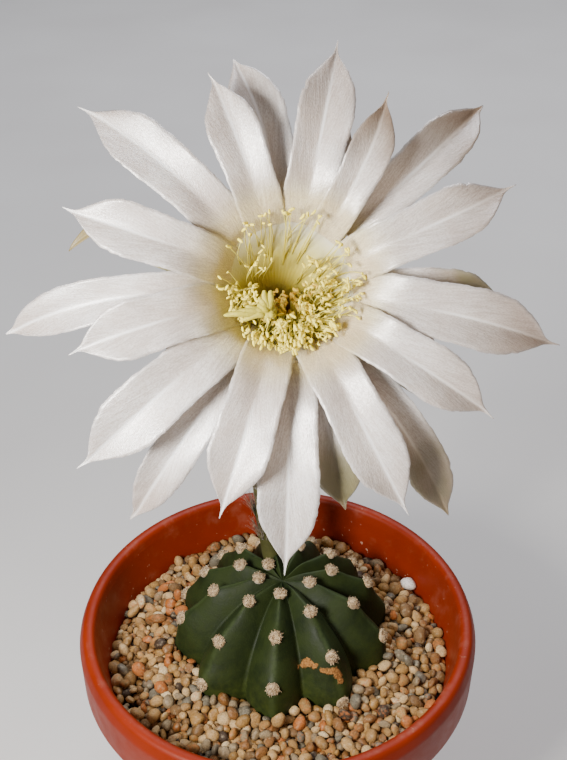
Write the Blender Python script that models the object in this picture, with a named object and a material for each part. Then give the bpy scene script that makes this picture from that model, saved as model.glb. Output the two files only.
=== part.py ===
"""Easter lily cactus in bloom: a ribbed globe cactus in a round plastic pot, with one open white flower.

The frame's origin is the middle of the pot's foot, +Z is up and the flower faces -Y.
Every named size is in millimetres, and MM turns it into the scene's metres where a mesh is made.
"""

import math
import random

import bmesh
import bpy
import numpy as np
from mathutils import Matrix, Vector
from mathutils.geometry import delaunay_2d_cdt

MM = 0.001
GAP = 0.4  # clearance left between two solids that touch on the real thing

# Pot: 13 cm nursery pot with a rolled rim that hangs down as a skirt.
POT_HEIGHT = 100.0
RIM_RADIUS = 65.6
RIM_LIP = 5.5
SKIRT_HEIGHT = 18.0
SKIRT_WALL = 1.6
POT_WALL = 2.0
POT_FOOT_RADIUS = 43.0
POT_FLOOR = 2.2
FOOT_RECESS = 2.0
FOOT_PAD_RADIUS = 12.0
FOOT_RING_WIDTH = 5.0
SHOULDER_Z = 79.5
SHOULDER_RADIUS = 56.6
POT_SEGMENTS = 42
DRAIN_HOLES = 6
DRAIN_RADIUS = 3.4
DRAIN_CIRCLE = 25.0

# Potting mix and the gravel top dressing, which the cactus stands in.
MIX_TOP = 77.5
MIX_SEGMENTS = 24
GRAVEL_TOP = 85.0
PEBBLE_SPACING = 6.2
PEBBLE_RISE = 2.4

# Cactus: crest line of a rib from the crown down to the root tip, as (radius, height).
CACTUS_X, CACTUS_Y = 1.5, 4.5
CREST_LINE = [
    (0.0, 109.4), (4.0, 110.6), (9.0, 111.4), (16.0, 110.4), (23.0, 107.2), (29.5, 101.8), (34.2, 95.4),
    (36.6, 89.0), (36.2, 83.0), (32.8, 77.0), (26.0, 71.6), (16.0, 67.4), (8.0, 64.4), (4.6, 60.0),
    (3.4, 50.0), (1.6, 40.0),
]
GROOVE_DEPTH = [0.0, 1.6, 3.4, 5.4, 6.8, 7.6, 8.0, 8.0, 7.6, 6.4, 4.4, 1.8, 0.0, 0.0, 0.0, 0.0]
RIB_AZIMUTHS = [-95, -59, -18, 14, 42, 70, 103, 129, 157, 187, 226]
FIRST_AREOLE = [8.6, 17.6, 9.8, 17, 22.5, 17, 9, 7.6, 15.5, 8, 15.5]  # from the crown, along each rib in turn
AREOLE_SPACING = 15.5
AREOLE_RADIUS = 2.2
RIB_STEPS = 4
SKIN_ROWS = [0.0, 0.04, 0.09, 0.15, 0.22, 0.29, 0.36, 0.43, 0.5, 0.57, 0.64, 0.7, 0.77, 0.85, 1.0]

# Flower: the middle of its throat, and the way it faces. Its own frame has X to its right, Y up its face
# and Z out of the throat, and a profile in that frame is a list of (radius, Z).
THROAT = Vector((3.0, -50.8, 248.8))
FACE_ELEVATION = math.radians(33.0)
FACE_TURN = math.radians(2.0)
BLOOM_SEGMENTS = 24

# Flower tube, from its mouth down to the areole that it grows from, as (depth below the throat, radius).
TUBE_OUTSIDE = [
    (6.7, 15.0), (9, 14.2), (13, 12.6), (18, 10.7), (24, 9.1), (32, 7.7), (42, 6.6), (60, 5.9), (85, 5.4),
    (112, 5.2), (138, 4.8), (156, 4.1), (167, 3.5), (174, 2.8),
]
TUBE_INSIDE = [
    (6.7, 13.2), (13, 11.2), (20, 8.6), (28, 6.6), (38, 5.2), (60, 4.2), (85, 3.7), (125, 3.2), (131, 1.4),
]
TUBE_ROOT = Vector((-2.3, 17.0, 109.5))
TUBE_STRAIGHT = 34.0
TUBE_BEND = 45.0
TUBE_BOW = Vector((-6.5, 26.0, 160.0))
TUBE_SIDES = 12
SCALE_COUNT = 16

# Petals. A layer gives the place where its blades leave the throat and how their midribs curl back: in
# degrees above the face of the flower, they start at start, settle within a few millimetres to open, and lose
# bend for each millimetre outwards. swing is the power of the way along by which a blade swings sideways.
BLADE = 0.7
LAYERS = {
    "inner": {"root": (15.4, 0.0), "run": 3.0, "start": 62, "open": 20, "bend": 1.0, "swing": 2},
    "middle": {"root": (15.6, -0.5), "run": 2.6, "start": 59, "open": 18, "bend": 0.97, "swing": 2},
    "outer": {"root": (17.0, -2.0), "run": 4.7, "start": 50, "open": 11.5, "bend": 0.97, "swing": 2},
    "sepal": {"root": (16.6, -7.0), "run": 3.6, "start": 38, "open": 8, "bend": 1.4, "swing": 5},
}
INNER_RING = [(13.1, -2.5), (14.6, -3.3), (15.85, -0.95), (14.4, -0.15)]
OUTER_RING = [(13.3, -5.25), (14.45, -6.2), (15.7, -4.7), (14.55, -3.8)]
# Each blade: layer, angle round the throat, sideways sweep of the tip, reach from the axis, width, lift and
# twist.
INNER_PETALS = [
    ("inner", 76.8, 0.8, 52.8, 12.9, 0.0, 4), ("inner", 108.7, 1.0, 47.4, 12.1, 0.4, -6),
    ("inner", 135.0, 3.4, 59.0, 12.5, -0.5, 4), ("inner", 161.3, -0.6, 50.2, 12.1, 0.7, -3),
    ("inner", 195.4, 1.2, 48.6, 13.0, 0.5, 3), ("inner", 219.3, 0.9, 60.0, 13.7, -0.4, -4),
    ("inner", 252.4, 0.0, 51.6, 13.3, 0.8, 5), ("middle", 268.8, -0.5, 63.0, 13.8, -0.9, 0),
    ("inner", 295.8, 0.5, 55.5, 13.1, 0.4, 3), ("inner", 326.6, -0.7, 51.8, 12.5, 0.9, -4),
    ("inner", 348.9, -1.9, 60.2, 13.5, -0.3, 2), ("inner", 20.3, 2.6, 52.8, 12.5, 0.4, -3),
    ("inner", 54.8, 7.2, 45.2, 9.9, 1.0, 4),
]
OUTER_PETALS = [
    ("outer", 96.2, 6.6, 50.8, 12.0, 0.0, 8), ("outer", 182.3, 5.2, 63.5, 10.5, 0.0, 0),
    ("outer", 235.1, 0.6, 62.2, 11.0, 0.0, -6), ("outer", 284.8, -1.9, 50.0, 12.2, 0.0, 0),
    ("outer", 309.1, -4.6, 62.9, 11.1, 0.0, 5), ("outer", -3.1, -2.0, 46.9, 10.7, 0.0, 0),
    ("outer", 40.9, 1.3, 59.7, 11.5, 0.0, -4), ("outer", 121.9, 0.0, 24.6, 9.6, 0.0, 3),
    ("outer", 149.9, 2.0, 25.1, 9.6, 0.0, 0), ("outer", 67.0, 0.0, 35.3, 10.6, 0.0, 0),
    ("outer", 207.9, 0.0, 34.1, 10.6, 0.0, 4), ("outer", 259.0, 0.0, 40.1, 10.6, 0.0, 4),
    ("outer", 337.2, 0.0, 34.2, 10.6, 0.0, -3),
]
SEPALS = [
    ("sepal", 156.4, 13.0, 50.5, 4.4, 0, 12), ("sepal", 69.0, -1.5, 36.2, 5.2, 0, 0),
    ("sepal", 19.9, 3.0, 39.7, 5.0, 0, 8), ("sepal", 349.9, -4.0, 37.8, 5.4, 0, 0),
    ("sepal", 321.9, 2.0, 41.8, 5.0, 0, -8), ("sepal", 295.9, 0.0, 36.9, 5.0, 0, 5),
    ("sepal", 262.0, 3.0, 40.9, 5.2, 0, 0), ("sepal", 224.1, -3.0, 39.9, 5.2, 0, 6),
    ("sepal", 190.1, 2.0, 37.9, 5.0, 0, -6), ("sepal", 104.1, -2.0, 34.8, 5.0, 0, 0),
]
# Half-width of a blade along its length, as a share of its greatest half-width: awned for the inner petals,
# and blunter for the outer petals and the sepals.
AWNED = [
    (0, 0.42), (0.1, 0.52), (0.2, 0.66), (0.4, 0.88), (0.55, 0.97), (0.65, 1.0), (0.75, 0.86), (0.82, 0.58),
    (0.88, 0.3), (0.93, 0.14), (1, 0.05),
]
BLUNT = [
    (0, 0.42), (0.1, 0.54), (0.2, 0.68), (0.4, 0.86), (0.6, 0.98), (0.68, 1.0), (0.76, 0.92), (0.84, 0.7),
    (0.9, 0.42), (0.95, 0.2), (1, 0.06),
]
OUTLINES = {"inner": AWNED, "middle": AWNED, "outer": BLUNT, "sepal": BLUNT}
PETAL_ROWS = [0.0, 0.12, 0.28, 0.46, 0.64, 0.8, 0.9, 1.0]
SEPAL_ROWS = [0.0, 0.2, 0.4, 0.6, 0.8, 1.0]
CHANNEL = 0.26  # depth of the valley along a blade's midrib, as a share of its half-width

# Stamens: a sleeve of filaments grown together in the throat, a ring on its rim and a crowd low down in it.
SLEEVE = [
    (14.0, -0.4), (12.6, -2.8), (12.5, -6.9), (8.1, -20.0), (7.2, -24.0), (6.3, -24.0), (7.2, -20.0),
    (11.5, -6.9), (11.6, -2.8), (13.0, -0.3),
]
FILAMENT_RADIUS = 0.32
ANTHER_RADIUS = 0.8
ANTHER_LENGTH = 2.4
RING_STAMENS = 26
CROWD_STAMENS = 28

# Pistil: the stigma stands left of and below the middle of the throat, and its style runs down inside the
# tube.
# Each lobe: its direction from the style's end, its length and how far its tip rises.
STIGMA = Vector((-4.4, -5.6, 0.4))
STIGMA_LOBES = [
    (86, 4.0, 2.6), (113, 3.8, 2.9), (150, 4.2, 2.0), (177, 6.2, 2.2), (191, 6.0, 1.2), (210, 4.8, 0.8),
    (235, 3.8, 0.6), (280, 2.6, 0.6), (20, 1.9, 1.0),
]
STYLE_RADIUS = 0.9
STYLE_DEPTH = 122.0

random.seed(11)


def material(name, colour, roughness):
    made = bpy.data.materials.new(name)
    made.use_nodes = True
    shader = made.node_tree.nodes["Principled BSDF"]
    shader.inputs["Base Color"].default_value = (*colour, 1.0)
    shader.inputs["Roughness"].default_value = roughness
    shader.inputs["Metallic"].default_value = 0.0
    return made


def object_from(bm, name, finish, place=None):
    """The bmesh, drawn in millimetres, as an object of one material."""
    bmesh.ops.transform(bm, matrix=Matrix.Scale(MM, 4) @ (place or Matrix()), verts=bm.verts)
    bmesh.ops.recalc_face_normals(bm, faces=bm.faces)
    mesh = bpy.data.meshes.new(name)
    bm.to_mesh(mesh)
    bm.free()
    if finish:
        mesh.materials.append(finish)
    made = bpy.data.objects.new(name, mesh)
    bpy.context.scene.collection.objects.link(made)
    return made


def lathe(profile, segments, centre=(0.0, 0.0)):
    """A profile of (radius, height) points turned round a vertical axis. A ring repeats its first point."""
    bm = bmesh.new()
    verts = [bm.verts.new((centre[0] + r, centre[1], z)) for r, z in profile]
    edges = [bm.edges.new(pair) for pair in zip(verts, verts[1:])]
    bmesh.ops.spin(
        bm, geom=verts + edges, cent=(*centre, 0), axis=(0, 0, 1), angle=2 * math.pi, steps=segments,
        use_merge=True,
    )
    bmesh.ops.remove_doubles(bm, verts=bm.verts, dist=0.001)
    return bm


def side_frames(path):
    """Two directions across a path at each of its points, carried along it without twist."""
    frames = []
    side = Vector((1, 0, 0))
    for i in range(len(path)):
        along = (path[min(i + 1, len(path) - 1)] - path[max(i - 1, 0)]).normalized()
        side = (side - along * side.dot(along)).normalized()
        frames.append((side, along.cross(side)))
    return frames


def sweep(bm, path, radii, sides):
    """A closed tube of round sections along a path. A path that turns back on itself makes a hollow."""
    rings = []
    for point, radius, (across, up) in zip(path, radii, side_frames(path)):
        angles = [2 * math.pi * k / sides for k in range(sides)]
        spokes = [across * math.cos(a) + up * math.sin(a) for a in angles]
        rings.append([bm.verts.new(point + spoke * radius) for spoke in spokes])
    skin(bm, rings)


def skin(bm, rings):
    """Triangles between each ring of vertices and the next, with both ends closed."""
    sides = len(rings[0])
    for low, high in zip(rings, rings[1:]):
        for k in range(sides):
            j = (k + 1) % sides
            bm.faces.new((low[k], low[j], high[j]))
            bm.faces.new((low[k], high[j], high[k]))
    bm.faces.new(list(reversed(rings[0])))
    bm.faces.new(rings[-1])


def fuse(base, pieces):
    """Joins the pieces to the base with one Boolean union, and removes them."""
    helpers = bpy.data.collections.new("fused")
    bpy.context.scene.collection.children.link(helpers)
    for piece in pieces:
        bpy.context.scene.collection.objects.unlink(piece)
        helpers.objects.link(piece)
    union = base.modifiers.new("fuse", "BOOLEAN")
    union.operation = "UNION"
    union.operand_type = "COLLECTION"
    union.collection = helpers
    union.solver = "MANIFOLD"
    apply_modifiers(base)
    for piece in pieces:
        bpy.data.objects.remove(piece)
    bpy.data.collections.remove(helpers)
    return base


def cut(obj, cutter, name):
    """Sets up a Boolean that takes the hidden cutter away from the object."""
    cutter.hide_render = True
    cutter.display_type = "WIRE"
    modifier = obj.modifiers.new(name, "BOOLEAN")
    modifier.operation = "DIFFERENCE"
    modifier.object = cutter


def apply_modifiers(obj):
    bpy.context.view_layer.update()
    graph = bpy.context.evaluated_depsgraph_get()
    solid = bpy.data.meshes.new_from_object(obj.evaluated_get(graph))
    obj.modifiers.clear()
    obj.data = solid


def smooth(obj, degrees=35):
    obj.data.shade_smooth()
    obj.data.set_sharp_from_angle(angle=math.radians(degrees))


# Pot


def pot_inside(z):
    """Inner radius of the pot's wall at a height."""
    heights = [FOOT_RECESS + POT_FLOOR, SHOULDER_Z, 85.0, POT_HEIGHT - 1.0]
    return float(np.interp(z, heights, [POT_FOOT_RADIUS - 1.2, SHOULDER_RADIUS, 57.4, RIM_RADIUS - RIM_LIP]))


def make_pot(plastic):
    floor_top = FOOT_RECESS + POT_FLOOR
    skirt_bottom = POT_HEIGHT - SKIRT_HEIGHT
    ring = POT_FOOT_RADIUS - FOOT_RING_WIDTH
    profile = [
        (0, 0), (FOOT_PAD_RADIUS, 0), (FOOT_PAD_RADIUS + 1.5, FOOT_RECESS), (ring - 1.5, FOOT_RECESS),
        (ring, 0),
        (POT_FOOT_RADIUS, 0), (POT_FOOT_RADIUS + 1.0, 1.5), (SHOULDER_RADIUS + POT_WALL, SHOULDER_Z),
        (RIM_RADIUS - RIM_LIP + POT_WALL - 0.4, POT_HEIGHT - 3), (RIM_RADIUS - SKIRT_WALL, POT_HEIGHT - 3),
        (RIM_RADIUS - SKIRT_WALL, skirt_bottom), (RIM_RADIUS, skirt_bottom), (RIM_RADIUS, POT_HEIGHT - 1.6),
        (RIM_RADIUS - 1.2, POT_HEIGHT), (RIM_RADIUS - RIM_LIP + 1.3, POT_HEIGHT),
        (pot_inside(POT_HEIGHT - 1), POT_HEIGHT - 1), (pot_inside(85), 85),
        (pot_inside(SHOULDER_Z), SHOULDER_Z),
        (pot_inside(floor_top) + 0.6, floor_top + 3), (pot_inside(floor_top) - 3, floor_top), (0, floor_top),
    ]
    pot = object_from(lathe(profile, POT_SEGMENTS), "pot", plastic)
    holes = bmesh.new()
    for k in range(DRAIN_HOLES):
        a = 2 * math.pi * k / DRAIN_HOLES
        place = Matrix.Translation((DRAIN_CIRCLE * math.cos(a), DRAIN_CIRCLE * math.sin(a), floor_top / 2))
        bmesh.ops.create_cone(
            holes, cap_ends=True, segments=12, radius1=DRAIN_RADIUS, radius2=DRAIN_RADIUS,
            depth=4 * POT_FLOOR,
            matrix=place,
        )
    cut(pot, object_from(holes, "drain_hole_cutter", None), "drain holes")
    smooth(pot)
    return pot


# Cactus


def crest_point(share):
    """(radius, height, groove depth) at a share of the crest line's length, smoothed between its points."""
    line = np.array(CREST_LINE)
    steps = np.r_[0, np.cumsum(np.hypot(*np.diff(line, axis=0).T))]
    at = share * steps[-1]
    i = int(np.clip(np.searchsorted(steps, at) - 1, 0, len(line) - 2))
    t = (at - steps[i]) / (steps[i + 1] - steps[i])
    before, after = line[max(i - 1, 0)], line[min(i + 2, len(line) - 1)]
    a, b = line[i], line[i + 1]
    point = 0.5 * (2 * a + (b - before) * t + (2 * before - 5 * a + 4 * b - after) * t**2
                   + (3 * a - before - 3 * b + after) * t**3)
    return float(point[0]), float(point[1]), float(np.interp(at, steps, GROOVE_DEPTH))


def crest_length():
    return float(np.hypot(*np.diff(np.array(CREST_LINE), axis=0).T).sum())


def crest_normal(share):
    """Outward direction (radius, height) across the crest line."""
    r0, z0, _ = crest_point(max(share - 0.004, 0))
    r1, z1, _ = crest_point(min(share + 0.004, 1))
    length = math.hypot(r1 - r0, z1 - z0)
    return (z0 - z1) / length, (r1 - r0) / length


def cactus_surface(share, rib, across):
    """A point of the skin. across goes from 0 on the crest of a rib to 1 on the crest of the next."""
    start = RIB_AZIMUTHS[rib]
    end = RIB_AZIMUTHS[(rib + 1) % len(RIB_AZIMUTHS)]
    azimuth = math.radians(start + ((end - start) % 360) * across)
    from_crest = 2 * min(across, 1 - across)
    groove = (math.sqrt(from_crest**2 + 0.04) - 0.2) / (math.sqrt(1.04) - 0.2)
    r, z, depth = crest_point(share)
    out, up = crest_normal(share)
    r = max(r - out * depth * groove, 0.3)
    z -= up * depth * groove
    return Vector((CACTUS_X + r * math.cos(azimuth), CACTUS_Y + r * math.sin(azimuth), z))


def areole_places():
    """(point, outward direction) of each woolly areole above the gravel."""
    places = []
    length = crest_length()
    for rib, first in enumerate(FIRST_AREOLE):
        for k in range(4):
            share = (first + k * AREOLE_SPACING) / length
            r, z, _ = crest_point(share)
            if z < GRAVEL_TOP + AREOLE_RADIUS:
                break
            azimuth = math.radians(RIB_AZIMUTHS[rib])
            out, up = crest_normal(share)
            point = Vector((CACTUS_X + r * math.cos(azimuth), CACTUS_Y + r * math.sin(azimuth), z))
            places.append((point, Vector((out * math.cos(azimuth), out * math.sin(azimuth), up))))
    return places


def make_cactus(skin_green):
    """Ribbed stem with its woolly areoles and its tap root, and the socket of the flower tube."""
    bm = bmesh.new()
    rings = [
        [
            bm.verts.new(cactus_surface(s, rib, k / RIB_STEPS))
            for rib in range(len(RIB_AZIMUTHS))
            for k in range(RIB_STEPS)
        ]
        for s in SKIN_ROWS
    ]
    skin(bm, rings)
    cactus = object_from(bm, "cactus_stem", skin_green)
    tufts = []
    for point, outward in areole_places():
        if (point - TUBE_ROOT).length < 8:
            continue
        tuft = bmesh.new()
        bmesh.ops.create_icosphere(tuft, subdivisions=1, radius=AREOLE_RADIUS)
        bmesh.ops.scale(tuft, vec=(1, 1, 0.7), verts=tuft.verts)
        turn = outward.to_track_quat("Z", "Y").to_matrix().to_4x4()
        bmesh.ops.transform(tuft, matrix=Matrix.Translation(point) @ turn, verts=tuft.verts)
        tufts.append(object_from(tuft, "areole", None))
    fuse(cactus, tufts)
    path = tube_path()
    socket = bmesh.new()
    buried = [(160, 4.1), (167, 3.5), (174, 2.8), (174.5, 2.8)]
    sweep(socket, [path(d) for d, _ in buried], [r + GAP for _, r in buried], TUBE_SIDES)
    cut(cactus, object_from(socket, "flower_socket_cutter", None), "flower socket")
    smooth(cactus, 50)
    return cactus


# Potting mix and gravel


def make_potting_mix(mix):
    """Moist mix that fills the pot, with a plain hole for the buried part of the stem and its root."""
    bottom = FOOT_RECESS + POT_FLOOR + GAP
    profile = [(0, bottom), (pot_inside(bottom) - 3.5, bottom), (pot_inside(bottom + 3) - GAP, bottom + 3)]
    profile += [(pot_inside(MIX_TOP) - GAP, MIX_TOP), (0, MIX_TOP)]
    filling = object_from(lathe(profile, MIX_SEGMENTS), "potting_mix", mix)
    hole = [(0, MIX_TOP + 8)]
    for share in SKIN_ROWS[8:]:
        (r, z, _), (out, up) = crest_point(share), crest_normal(share)
        hole.append((r + out * 2 * GAP, z + up * 2 * GAP))
    hole.append((0, CREST_LINE[-1][1] - 1))
    hole_cutter = object_from(lathe(hole, 33, (CACTUS_X, CACTUS_Y)), "root_hole_cutter", None)
    cut(filling, hole_cutter, "root hole")
    smooth(filling)
    return filling


def stem_outline():
    """Corners of the hole that the gravel leaves round the ribbed stem."""
    corners = []
    shares = [k / 100 for k in range(48, 76)]
    for rib in range(len(RIB_AZIMUTHS)):
        for k in range(RIB_STEPS):
            points = [cactus_surface(s, rib, k / RIB_STEPS) for s in shares]
            beside = [p for p in points if MIX_TOP - 3 < p.z < GRAVEL_TOP + 5]
            sides = [p.xy - Vector((CACTUS_X, CACTUS_Y)) for p in beside]
            widest = max(sides, key=lambda side: side.length)
            corners.append(Vector((CACTUS_X, CACTUS_Y)) + widest * (1 + 2 * GAP / widest.length))
    return corners


def triangles(points, loops):
    """Triangles between the points, inside the first loop of them and outside the second."""
    return delaunay_2d_cdt(points, [], [list(loop) for loop in loops], 2, 1e-6)[2]


def pebble_places(hole, outside):
    """Jittered rows of pebble middles between the stem and the pot."""
    places = []
    middle = Vector((CACTUS_X, CACTUS_Y))
    row = PEBBLE_SPACING * math.sqrt(3) / 2
    for j in range(-10, 11):
        for i in range(-10, 11):
            at = Vector(((i + 0.5 * (j % 2)) * PEBBLE_SPACING, j * row))
            at += Vector((random.uniform(-1, 1), random.uniform(-1, 1))) * 0.2 * PEBBLE_SPACING
            nearest = min((corner - at).length for corner in hole)
            inside = at - middle
            edge = min(hole, key=lambda corner: (corner - middle).normalized().cross(inside.normalized()) ** 2
                       + (0 if (corner - middle).dot(inside) > 0 else 9))
            if at.length < outside - 0.42 * PEBBLE_SPACING and nearest > 0.42 * PEBBLE_SPACING:
                if inside.length > (edge - middle).length:
                    places.append(at)
    return places


def make_gravel(stone):
    """Layer of rounded gravel on the mix, its pebbles raised from one slab and wrapped round the ribs."""
    outside = pot_inside(GRAVEL_TOP - 1.5) - GAP
    bottom = MIX_TOP + GAP
    turn = [2 * math.pi * k / POT_SEGMENTS for k in range(POT_SEGMENTS)]
    wall = [Vector((math.cos(a), math.sin(a))) * outside for a in turn]
    hole = stem_outline()
    loops = [range(len(wall)), range(len(wall), len(wall) + len(hole))]
    places = pebble_places(hole, outside)
    first = triangles(wall + hole + places, loops)
    corners = wall + hole + places
    valleys = [(corners[a] + corners[b] + corners[c]) / 3 for a, b, c in first]
    corners = corners + valleys
    heights = [GRAVEL_TOP - 1.2] * (len(wall) + len(hole))
    heights += [GRAVEL_TOP + random.uniform(-0.5, 1.0) for _ in places]
    heights += [GRAVEL_TOP - PEBBLE_RISE + random.uniform(-0.3, 0.3) for _ in valleys]
    bm = bmesh.new()
    top = [bm.verts.new((*p, z)) for p, z in zip(corners, heights)]
    for face in triangles(corners, loops):
        bm.faces.new([top[k] for k in face])
    foot_radius = pot_inside(bottom) - GAP
    foot = [bm.verts.new((*(p * foot_radius / outside), bottom)) for p in wall]
    foot += [bm.verts.new((*p, bottom)) for p in hole]
    for face in triangles(wall + hole, loops):
        bm.faces.new([foot[k] for k in reversed(face)])
    for loop in loops:
        for k in range(len(loop)):
            i, j = loop[k - 1], loop[k]
            bm.faces.new((top[i], top[j], foot[j]))
            bm.faces.new((top[i], foot[j], foot[i]))
    return object_from(bm, "gravel", stone)


# Flower


def bloom_frame():
    """Placing of the flower's own frame."""
    level = math.cos(FACE_ELEVATION)
    facing = Vector((math.sin(FACE_TURN) * level, -math.cos(FACE_TURN) * level, math.sin(FACE_ELEVATION)))
    right = Vector((math.cos(FACE_TURN), math.sin(FACE_TURN), 0))
    turn = Matrix((right, facing.cross(right), facing)).transposed()
    return Matrix.Translation(THROAT) @ turn.to_4x4()


def tube_path():
    """Function from a depth below the throat to the middle of the flower tube there."""
    facing = bloom_frame().to_3x3() @ Vector((0, 0, 1))
    bend = THROAT - facing * TUBE_STRAIGHT
    handles = [bend, bend - facing * TUBE_BEND, TUBE_BOW, TUBE_ROOT]
    points = [THROAT, bend]
    for i in range(1, 41):
        t = i / 40
        weights = [(1 - t) ** 3, 3 * t * (1 - t) ** 2, 3 * t**2 * (1 - t), t**3]
        points.append(sum((h * w for h, w in zip(handles, weights)), Vector()))
    lengths = np.r_[0, np.cumsum([(b - a).length for a, b in zip(points, points[1:])])]
    table = np.array(points)
    end = (points[-1] - points[-2]).normalized()

    def at(depth):
        past = max(0.0, depth - lengths[-1])
        return Vector([float(np.interp(depth, lengths, table[:, k])) for k in range(3)]) + end * past

    return at


def ease(value):
    """Smooth step from 0 to 1."""
    value = min(max(value, 0.0), 1.0)
    return value * value * (3 - 2 * value)


def midrib(layer, reach, steps):
    """Points (radius, rise) of a blade's midrib, its length found so that its tip is at the given reach."""
    r0, z0 = layer["root"]
    start = math.radians(layer["start"])
    length = reach - r0 + 4
    for _ in range(8):
        points = [(r0, z0)]
        for k in range(steps):
            far = (k + 0.5) / steps * length
            lean = layer["open"] - layer["bend"] * far + (layer["start"] - layer["open"]) * math.exp(-far / 5)
            lean = math.radians(lean)
            r, z = points[-1]
            points.append((r + math.cos(lean) * length / steps, z + math.sin(lean) * length / steps))
        length += reach - points[-1][0]
    run = layer["run"]
    sunk = [(r0 - math.cos(start) * run * k / 2, z0 - math.sin(start) * run * k / 2) for k in (2, 1)]
    return sunk + points


def blade_grid(spec, shares, across):
    """Rows of points on the middle surface of a petal or sepal, from its root to its tip."""
    kind, angle, swing, reach, width, lift, twist = spec
    line = np.array(midrib(LAYERS[kind], reach, 48))
    steps = np.r_[0, np.cumsum(np.hypot(*np.diff(line, axis=0).T))]
    steps /= steps[-1]
    spine = []
    for share in shares:
        r, z = (float(np.interp(share, steps, line[:, k])) for k in (0, 1))
        azimuth = math.radians(angle + swing * share ** LAYERS[kind]["swing"])
        r -= 0.35 * lift * (1 - ease(share / 0.35))
        z += lift * ease(share / 0.35)
        spine.append((share, azimuth, r, Vector((r * math.cos(azimuth), r * math.sin(azimuth), z))))
    rows = []
    for i, (share, azimuth, r, middle) in enumerate(spine):
        forward = (spine[min(i + 1, len(spine) - 1)][3] - spine[max(i - 1, 0)][3]).normalized()
        sideways = Vector((0, 0, 1)).cross(forward).normalized()
        turned = Matrix.Rotation(math.radians(twist) * share, 3, forward)
        sideways = turned @ sideways
        upward = forward.cross(sideways)
        half = width / 2 * float(np.interp(share, *zip(*OUTLINES[kind])))
        free = ease(share / 0.3)
        row = []
        for k in range(across + 1):
            t = 2 * k / across - 1
            valley = math.sqrt(t * t + 0.05) - math.sqrt(0.05)
            flat = middle + sideways * (half * t) + upward * (half * CHANNEL * valley * free)
            bent = azimuth + half * t / r
            round_throat = Vector((r * math.cos(bent), r * math.sin(bent), middle.z))
            row.append(round_throat.lerp(flat, free))
        rows.append(row)
    return rows


def blade(spec, shares, across):
    """Closed thin solid on a blade's middle surface, with both faces cut into the same triangles."""
    rows = blade_grid(spec, shares, across)
    along = len(rows) - 1
    bm = bmesh.new()
    faces = []
    for sign in (1, -1):
        side = []
        for i, row in enumerate(rows):
            ahead, behind = rows[min(i + 1, along)], rows[max(i - 1, 0)]
            verts = []
            for k, point in enumerate(row):
                sideways = row[min(k + 1, across)] - row[max(k - 1, 0)]
                normal = (ahead[k] - behind[k]).cross(sideways).normalized()
                verts.append(bm.verts.new(point + normal * (sign * BLADE / 2)))
            side.append(verts)
        faces.append(side)
    upper, lower = faces
    for i in range(along):
        for k in range(across):
            for a, b, c in (((i, k), (i + 1, k), (i + 1, k + 1)), ((i, k), (i + 1, k + 1), (i, k + 1))):
                bm.faces.new([upper[p][q] for p, q in (a, b, c)])
                bm.faces.new([lower[p][q] for p, q in (c, b, a)])
    rim = [(i, 0) for i in range(along + 1)] + [(along, k) for k in range(1, across + 1)]
    rim += [(i, across) for i in range(along - 1, -1, -1)] + [(0, k) for k in range(across - 1, 0, -1)]
    for j in range(len(rim)):
        (p, q), (u, v) = rim[j - 1], rim[j]
        bm.faces.new((upper[p][q], upper[u][v], lower[u][v]))
        bm.faces.new((upper[p][q], lower[u][v], lower[p][q]))
    return object_from(bm, "blade", None, bloom_frame())


def make_petals(name, ring, petals, finish):
    """One layer of petals, grown together at their roots in a ring round the throat."""
    bm = lathe(ring + ring[:1], BLOOM_SEGMENTS)
    layer = object_from(bm, name, finish, bloom_frame())
    fuse(layer, [blade(spec, PETAL_ROWS, 4) for spec in petals])
    smooth(layer, 60)
    return layer


def make_flower_tube(finish):
    """Long curved tube with its scales and the narrow sepals round its mouth, open down to the ovary."""
    path = tube_path()
    depths = [(d, r) for d, r in reversed(TUBE_OUTSIDE)] + TUBE_INSIDE
    bm = bmesh.new()
    rings = []
    outside = [path(d) for d, _ in TUBE_OUTSIDE]
    inside = [path(d) for d, _ in TUBE_INSIDE]
    frames = list(reversed(side_frames(outside))) + side_frames(inside)
    points = list(reversed(outside)) + inside
    for point, (across, up), (_, radius) in zip(points, frames, depths):
        turn = [2 * math.pi * k / TUBE_SIDES for k in range(TUBE_SIDES)]
        rings.append([bm.verts.new(point + (across * math.cos(a) + up * math.sin(a)) * radius) for a in turn])
    skin(bm, rings)
    tube = object_from(bm, "flower_tube", finish)
    pieces = [blade(spec, SEPAL_ROWS, 2) for spec in SEPALS]
    pieces += [tube_scale(path, k) for k in range(SCALE_COUNT)]
    fuse(tube, pieces)
    smooth(tube, 50)
    return tube


def tube_scale(path, k):
    """Small pointed scale that lies along the tube, the higher ones longer."""
    share = (k + 0.5) / SCALE_COUNT
    depth = 160 - 136 * share
    long = 6.5 + 5 * share
    turn = math.radians(137.5 * k)
    radius = float(np.interp(depth, *zip(*TUBE_OUTSIDE)))
    tip_radius = float(np.interp(depth - long, *zip(*TUBE_OUTSIDE)))
    points = []
    for part, out in ((0, radius - 0.6), (0.55, (radius + tip_radius) / 2 + 0.5), (1, tip_radius + 1.4)):
        here = path(depth - long * part)
        along = (path(depth - long * part - 1) - here).normalized()
        side = Vector((1, 0, 0))
        side = (side - along * side.dot(along)).normalized()
        outward = side * math.cos(turn) + along.cross(side) * math.sin(turn)
        points.append(here + outward * out)
    bm = bmesh.new()
    sweep(bm, points, [1.3, 1.25, 0.35], 4)
    return object_from(bm, "scale", None)


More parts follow.
